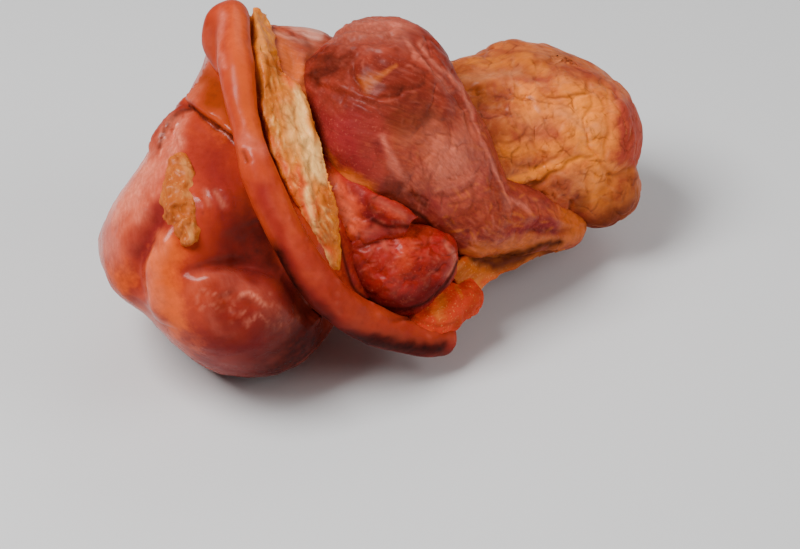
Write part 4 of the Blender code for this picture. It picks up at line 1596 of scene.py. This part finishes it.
    def build(self, rind: Clay) -> bpy.types.Object:
        """Stretch the membrane and crease it, and let it redden where it meets the rind."""
        clay = self.clay(joined([lump(m, detail=5) for m in self.masses], "shank_face"), passes=34)
        clay.rough(size=15.0, height=1.0, seed=71)
        clay.crumple(size=13.0, height=0.7, char=0.3, seed=73)
        clay.crumple(size=6.0, height=0.3, char=0.22, seed=77)
        clay.flow = clay.co @ np.array(((0.8, -0.6, 0.0), (0.6, 0.8, 0.0), (0.0, 0.0, 1.0)))
        clay.scatter(self.strands)
        clay.bulge(self.knobs)
        clay.draw(self.lines)
        clay.shade_low(top=20.0, bottom=4.0, strength=0.6)
        clay.lay(self.marks)
        hidden = 1.0 - clay.facing()
        end = (clay.co[:, 0] - self.red_from + 5.0 * noise(clay.co, 12.0, 75)) / self.red_soft
        clay.mark(DEEP_AND_SHADE, np.maximum(clay.beside(rind, reach=5.0) * hidden, np.clip(end, 0.0, 0.9) * hidden))
        clay.weather(seed=74)
        return clay.finish(GOLDEN)


@dataclass
class HeelMuscle(Piece):
    """The small bright muscle that bulges out between the rolled edge and the big muscle."""

    masses: Tuple[Mass, ...] = (
        Mass((-5, -34, 49), (12, 14, 13)),
        Mass((8, -36, 40), (17, 17, 17)),
        Mass((18, -33, 41), (11, 13, 12)),
    )
    way: Path = ((-17.5, 14), (-12.5, 1.5), (-3.5, -6.5), (11, -4), (17.5, 4.5))
    ball: Path = ((-18, 11), (0, 17.5), (18, 11), (19, -0.5), (3.5, -10), (-12.5, -5.5))
    strands: Tuple[Strands, ...] = (
        Strands(ball, 46, 5, -30, 50, 0.45, -0.25, CHAR_AND_SHADE, 0.45, 86),
        Strands(ball, 40, 4, -30, 50, 0.4, 0.15, BLOOM, 0.35, 87),
    )
    lines: Tuple[Line, ...] = (
        Line(((-18, 10), (-14, 9.5), (-9.5, 11.5), (-6, 12.5)), 1.2, -0.9, 0.5),
        Line(((-17.5, 13.5), (-15.5, 17), (-11.5, 18.5)), 1.2, -0.9, 0.4),
        Line(((7.5, 9.5), (11.5, 11.5), (14.5, 10.5)), 1.2, -0.6, 0.35),
        Line(((13, 13.5), (16, 12), (19.5, 9)), 1.3, 0.9),
        Line(((-13.5, 15.5), (-10, 14), (-6.5, 14.5)), 1.3, 0.8),
        Line(((-12.5, 6), (-9.5, 1.5), (-4.5, -0.5)), 1.4, -0.6),
        Line(((-0.5, 15.5), (0.5, 10.5), (3, 6.5)), 2.4, 0.8),
    )
    # the amber band over the top and the bloom bands are painted highlights; the deep and char bands along
    # the lower edge and round the outline are painted shade
    marks: Tuple[Blot, ...] = (
        band(AMBER, ((1.5, 17), (3, 11), (1.5, 5.5)), 5, 0.3),
        band(CHAR_AND_SHADE, ((-11.5, -6.5), (0, -10), (13, -5)), 4, 0.3, 1.5),
        patch(DEEP_AND_SHADE, ((-18, 11), (-7.5, 13.5), (-1.5, 4.5), (-6, -6.5), (-14, -3.5)), 8, 0.45),
        band(DEEP_AND_SHADE, ((-17.5, 1.5), (-12.5, -8), (0, -12), (14.5, -5)), 5.5, 0.95),
        patch(DEEP_AND_SHADE, ((3, 4.5), (14.5, 7.5), (19, 3), (11, -5.5), (0.5, -5.5)), 5, 0.6),
        band(BLOOM, ((-14, 14), (-8.5, 13.5), (-5, 10.5)), 1.4, 0.4, 1.5),
        band(BLOOM, ((16.5, 10.5), (20, 6), (18, 0)), 1.1, 0.6),
        band(CHAR_AND_SHADE, ((-23.5, 14.5), (-21.5, 8), (-19.5, 1.5), (-17, -5), (-13, -8.5), (-3.5, -12.5),
            (4.5, -12), (11.5, -8), (17.5, -2.5), (21, 4.5)), 0.8, 0.8, 0.4),
    )

    def build(self) -> bpy.types.Object:
        """Grow the muscle from its lumps and crease it."""
        clay = self.clay(taut(self.masses, "heel_muscle"), passes=6)
        clay.follow(self.way)
        clay.rough(size=7.0, height=0.7, seed=81)
        clay.rough(size=2.6, height=0.25, seed=83)
        clay.crumple(size=6.0, height=0.35, char=0.3, seed=84)
        clay.scatter(self.strands)
        clay.draw(self.lines)
        clay.lay(self.marks)
        return clay.finish(BRIGHT_LEAN)


@dataclass
class InnerMeat(Piece):
    """The meat beside the fat strip, with the tongue that lies over the small muscle."""

    left: Way = (
        (-30.5, 42.5, 70), (-27.5, 30.5, 75), (-23.5, 19, 73), (-16.5, 13.5, 72), (-7.5, 16, 73),
        (0.5, 17.5, 71),
    )
    right: Way = (
        (-27.5, 41.5, 68), (-22, 35, 73), (-15.5, 32, 75), (-8, 28.5, 76), (-1, 25, 74), (3.5, 19, 70),
    )
    way: Path = ((-28.5, 40), (-20, 27), (-9, 22.5), (3, 18))
    tongue: Path = ((-28.5, 39.5), (-18, 33), (3, 20), (-7.5, 15.5), (-22, 17.5))
    strands: Tuple[Strands, ...] = (
        Strands(tongue, 26, 5, -50, 30, 0.45, -0.25, CHAR_AND_SHADE, 0.45, 94),
        Strands(tongue, 22, 4, -50, 30, 0.4, 0.15, BLOOM, 0.35, 96),
    )
    lines: Tuple[Line, ...] = (
        Line(((-12.5, 29.5), (-11, 25.5), (-8, 22), (-2, 18.5), (3, 17.5)), 1.1, -0.8, 0.4),
        Line(((-22.5, 28.5), (-17.5, 24), (-14.5, 20)), 1.4, -0.6, 0.25),
    )
    # the amber band along the left edge is the orange tissue there; it and the bloom band over it are also
    # painted light where the fat strip shades the meat
    marks: Tuple[Blot, ...] = (
        band(AMBER, ((-27, 33.5), (-24, 25.5), (-21, 18.5)), 6, 1, 2),
        band(BLOOM, ((-26, 33), (-23.5, 25.5), (-20.5, 19)), 4, 0.6, 2),
        patch(DEEP_AND_SHADE, ((-20.5, 32), (-8.5, 28), (2, 20.5), (-6, 16), (-16, 19)), 5, 0.8, 2),
        band(BLOOM, ((-17.5, 17.5), (-12.5, 14.5), (-7.5, 16)), 2, 0.3, 2),
        band(AMBER, ((-10, 25.5), (-4.5, 22.5), (1.5, 20)), 2.6, 0.2),
        band(DEEP_AND_SHADE, ((-18, 30.5), (-14, 25.5), (-10, 21.5)), 3, 0.5),
        band(BLOOM, ((-9.5, 28), (-3, 24), (1.5, 21.5)), 1.2, 0.35),
        band(CHAR_AND_SHADE, ((-10, 20), (-4.5, 17.5), (3, 17.5)), 1.4, 0.8, 0.4),
    )

    def build(self) -> bpy.types.Object:
        """Lay the meat and give it its fold."""
        slab = ribbon(self.sheet, self.left, self.right, "inner_meat", crown=2.0, thickness=9.0)
        clay = self.clay(slab, passes=30)
        clay.follow(self.way)
        clay.fibres(length=14.0, width=2.4, height=0.2, seed=91)
        clay.rough(size=6.0, height=0.5, seed=92)
        clay.crumple(size=7.0, height=0.4, char=0.25, seed=93)
        clay.scatter(self.strands)
        clay.draw(self.lines)
        clay.lay(self.marks)
        return clay.finish(BRIGHT_LEAN)


@dataclass
class SideMeat(Piece):
    """The narrow dark band of meat between the fat strip and the small muscle."""

    left: Way = ((-28.5, 23.5, 76), (-26, 12.5, 76), (-24, 2.5, 74), (-18, -8, 68))
    right: Way = ((-22.5, 21.5, 74), (-22, 11, 74), (-18.5, 1.5, 70), (-12.5, -9.5, 62))
    way: Path = ((-25.5, 22.5), (-23.5, 9), (-15.5, -8.5))
    marks: Tuple[Blot, ...] = (
        band(AMBER, ((-26, 19), (-23.5, 6.5), (-18, -5.5)), 4, 0.4, 2),
        band(DEEP_AND_SHADE, ((-22.5, 12.5), (-19.5, 2.5), (-14.5, -6.5)), 3, 0.7, 2),
        band(CHAR_AND_SHADE, ((-23, 14.5), (-21, 8), (-19, 1.5), (-16.5, -5), (-13, -8.5)), 0.7, 0.8, 0.3),
    )

    def build(self) -> bpy.types.Object:
        """Lay the band."""
        slab = ribbon(self.sheet, self.left, self.right, "side_meat", crown=1.5, thickness=9.0)
        clay = self.clay(slab, passes=5)
        clay.follow(self.way)
        clay.fibres(length=14.0, width=2.0, height=0.3, seed=95)
        clay.lay(self.marks)
        return clay.finish(BRIGHT_LEAN)


@dataclass
class CornerFat(Piece):
    """The orange corner above the rolled edge's blunt end, and the yellow rim that runs off to the shank."""

    corner: Tuple[Mass, ...] = (Mass((21, -38, 22), (15, 9, 9), (0, -6, 40)), Mass((30, -30, 22), (8, 8, 7),
        (0, 0, 40)))
    upper: Way = ((16.5, 1, 48), (21, 6.5, 46), (29, 7.5, 38), (42, 9.5, 26), (58, 12.5, 10))
    lower: Way = ((22, -8, 40), (27.5, -4, 36), (35.5, 1.5, 28), (47.5, 7.5, 18), (59, 11.5, 8))
    corner_way: Path = ((5.5, -13.5), (16.5, -11), (27, -5))
    rim_way: Path = ((17.5, -5.5), (28.5, 2.5), (42, 6.5), (59, 12))
    corner_marks: Tuple[Blot, ...] = (
        band(DEEP_AND_SHADE, ((13, -6.5), (15.5, -10.5), (14, -15)), 2, -0.5, 2),
        band(DEEP_AND_SHADE, ((20.5, -4), (22.5, -8.5)), 1.2, -0.4, 2),
        band(CHAR_AND_SHADE, ((3.5, -14.5), (8, -17.5), (14.5, -18.5), (20.5, -17.5)), 0.9, 0.4, 0.4),
        band(CHAR_AND_SHADE, ((21, -18.5), (27, -11.5), (30, -5)), 2.5, 0.4),
    )
    rim_lines: Tuple[Line, ...] = (Line(((27, 5.5), (37, 6.5), (51.5, 10)), 1.3, -1.2, 0.9),)
    rim_marks: Tuple[Blot, ...] = (
        band(AMBER, ((18, -3.5), (29, 2.5), (51, 9)), 5, 1),
        band(CHAR_AND_SHADE, ((27, 5.5), (37, 6.5), (51.5, 10)), 1.6, 0.9, 0.4),
        band(DEEP_AND_SHADE, ((22.5, 4.5), (29, 1), (36.5, 4.5), (51, 9)), 3, 0.9, 2),
        patch(CHAR_AND_SHADE, ((25.5, 6.5), (36.5, 9), (58, 13.5), (58, 9), (38.5, 2.5), (29, 1.5)), 3, 0.95, 2),
        band(DEEP_AND_SHADE, ((30.5, -3.5), (40, 3), (58, 11)), 2, 0.8),
    )

    def build(self) -> List[bpy.types.Object]:
        """Grow the corner, and lay the rim.

        Returns:
            The two pieces.
        """
        clay = self.clay(joined([lump(m) for m in self.corner], "corner_flesh"), passes=10)
        clay.follow(self.corner_way)
        clay.rough(size=4.0, height=0.6, seed=103)
        clay.crumple(size=5.0, height=0.4, char=0.3, seed=104)
        clay.marks[DEEP_AND_SHADE] += 0.95
        clay.lay(self.corner_marks)
        corner = clay.finish(FAT)
        slab = ribbon(self.sheet, self.upper, self.lower, "fat_rim", crown=1.2, thickness=6.0)
        clay = self.clay(slab, passes=3)
        clay.follow(self.rim_way)
        clay.fibres(length=20.0, width=1.8, height=0.6, seed=102)
        clay.draw(self.rim_lines)
        clay.lay(self.rim_marks)
        return [corner, clay.finish(FAT)]


@dataclass
class TornFlap(Piece):
    """The yellow lumpy flap of fat on the sack."""

    grain: float = 0.5
    knobs: Way = (
        (-80.5, 41, 0.8), (-79.5, 37.5, 1.8), (-79.5, 33, 2.1), (-80.5, 27.5, 2.3), (-80, 22, 2.5),
        (-78, 17.5, 2.7), (-76.5, 13.5, 2.7), (-76.5, 11, 1.8),
    )
    lumps: Tuple[Knob, ...] = (
        ((-77, 38), 2.6, 1.1), ((-83.5, 33), 2.8, 1.2), ((-76.5, 30.5), 2.4, -1), ((-83, 25.5), 2.6, 1),
        ((-78.5, 25), 2.4, -0.9), ((-76.5, 22.5), 2.2, 0.8), ((-82, 20), 2.2, -0.8), ((-78.5, 17), 2.2, 0.8),
        ((-75.5, 13.5), 2.4, 0.9),
    )
    knob_radii: Tuple[float, ...] = (3.4, 4.8, 5.8, 6.2, 6, 5.2, 4.4, 3)
    way: Path = ((-81, 41.5), (-79.5, 33), (-80, 23.5), (-76.5, 12))
    lines: Tuple[Line, ...] = (
        Line(((-83, 25.5), (-79.5, 22.5), (-77, 21.5)), 1.3, -1.2, 0.35),
        Line(((-79.5, 20), (-78, 16), (-78, 12.5)), 1.2, -0.8, 0.3),
    )
    marks: Tuple[Blot, ...] = (
        patch(AMBER, ((-87.5, 43), (-71.5, 43), (-71.5, 9), (-87.5, 9)), 3, 0.9),
        patch(CHAR_AND_SHADE, ((-87.5, 30.5), (-78.5, 30), (-78, 22), (-84.5, 21.5)), 5, 0.35, 2),
        band(DEEP_AND_SHADE, ((-82, 28), (-78.5, 22)), 3, 0.6, 1.5),
        band(DEEP_AND_SHADE, ((-79.5, 41.5), (-80.5, 37.5)), 2.4, 0.5, 1.5),
        band(BLOOM, ((-78.5, 39.5), (-76.5, 34.5), (-77, 28.5)), 1.6, 0.3, 1.5),
        band(BLOOM, ((-76, 18.5), (-75, 13.5)), 1, 0.3, 1.5),
    )

    def build(self, rind: Clay) -> bpy.types.Object:
        """Lay the flap on the rind."""
        spots = [(k[0], k[1], rind.height_at(k[:2]) + k[2] - r) for k, r in zip(self.knobs, self.knob_radii)]
        rope = tube([self.sheet.place(k) for k in spots], self.knob_radii, "torn_flap")
        clay = self.clay(rope, passes=5)
        clay.follow(self.way)
        clay.bulge(self.lumps)
        clay.rough(size=5.0, height=1.2, seed=111)
        clay.rough(size=2.4, height=0.35, seed=112)
        clay.crumple(size=6.0, height=0.4, char=0.3, seed=114)
        clay.marks[CHAR_AND_SHADE] += 0.2
        clay.draw(self.lines)
        clay.lay(self.marks)
        return clay.finish(FAT)


# ---------------------------------------------------------------- stage

@dataclass(frozen=True)
class Lamp:
    """A square soft light: its name, place and side in metres, power in watts, and if it glints."""

    name: str
    place: Deep
    side: float
    power: float
    glints: bool = True


@dataclass
class Stage:
    """A plain pale floor, soft studio light and the camera; floor, lamps and aim are in metres."""

    sheet: Sheet
    floor_side: float = 6.0
    floor_tone: Colour = (0.68, 0.68, 0.68)
    floor_rough: float = 0.6
    sky: float = 0.17
    aim: Deep = (0.0, 0.0, 0.05)
    lamps: Tuple[Lamp, ...] = (
        Lamp("key", (-0.50, -0.32, 0.95), 0.5, 18.0),
        Lamp("fill", (1.2, -0.3, 0.7), 0.8, 9.8, glints=False),
        Lamp("back", (0.3, 0.8, 0.9), 0.7, 2.6),
    )
    lens: float = 135.0

    def build(self) -> None:
        """Set up the floor, the light and the camera."""
        bpy.ops.mesh.primitive_plane_add(size=self.floor_side, location=(0.0, 0.0, 0.0))
        floor = bpy.context.active_object
        floor.name = "floor"
        material = bpy.data.materials.new("pale_floor")
        material.use_nodes = True
        shader = material.node_tree.nodes["Principled BSDF"]
        shader.inputs["Base Color"].default_value = (*self.floor_tone, 1.0)
        shader.inputs["Roughness"].default_value = self.floor_rough
        floor.data.materials.append(material)
        world = bpy.data.worlds.new("studio")
        bpy.context.scene.world = world
        world.use_nodes = True
        sky = world.node_tree.nodes["Background"]
        sky.inputs["Color"].default_value = (1.0, 1.0, 1.0, 1.0)
        sky.inputs["Strength"].default_value = self.sky
        for lamp in self.lamps:
            self.hang(lamp)
        self.camera()

    def hang(self, lamp: Lamp) -> None:
        """Hang a light that faces the hock."""
        bpy.ops.object.light_add(type="AREA", location=lamp.place)
        light = bpy.context.active_object
        light.name = lamp.name
        light.data.size = lamp.side
        light.data.energy = lamp.power
        light.visible_glossy = lamp.glints
        heading = Vector(self.aim) - Vector(lamp.place)
        light.rotation_euler = heading.to_track_quat("-Z", "Y").to_euler()

    def camera(self) -> None:
        """Place the camera at the eye, square to the sheet."""
        bpy.ops.object.camera_add(location=Vector(self.sheet.eye) * MM)
        camera = bpy.context.active_object
        camera.rotation_euler = (-Vector(self.sheet.towards)).to_track_quat("-Z", "Y").to_euler()
        camera.data.lens = self.lens
        camera.data.sensor_width = 36.0
        camera.data.clip_start = 0.01
        bpy.context.scene.camera = camera


AIM_SHIFT = (8.5, 6.7)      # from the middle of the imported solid's box
AIM_HEIGHT = 5.0


def main() -> None:
    """Load the frame, build the hock's pieces in order and set the stage."""
    logging.basicConfig(level=logging.INFO, format="%(name)s: %(message)s")
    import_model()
    low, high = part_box(NODE)
    middle = [(a + b) / 2 / MM for a, b in zip(low, high)]
    sheet = Sheet(Vector((middle[0] + AIM_SHIFT[0], middle[1] + AIM_SHIFT[1], AIM_HEIGHT)))
    bpy.ops.object.select_all(action="DESELECT")
    rind = RindSack(sheet).build()
    for kind in (RolledEdge, InnerRind, FatStrip):
        kind(sheet).build()
    ShankFace(sheet).build(rind)
    for kind in (BigMuscle, InnerMeat, SideMeat, HeelMuscle, CornerFat):
        kind(sheet).build()
    TornFlap(sheet).build(rind)
    Stage(sheet).build()


if __name__ == "__main__":
    main()
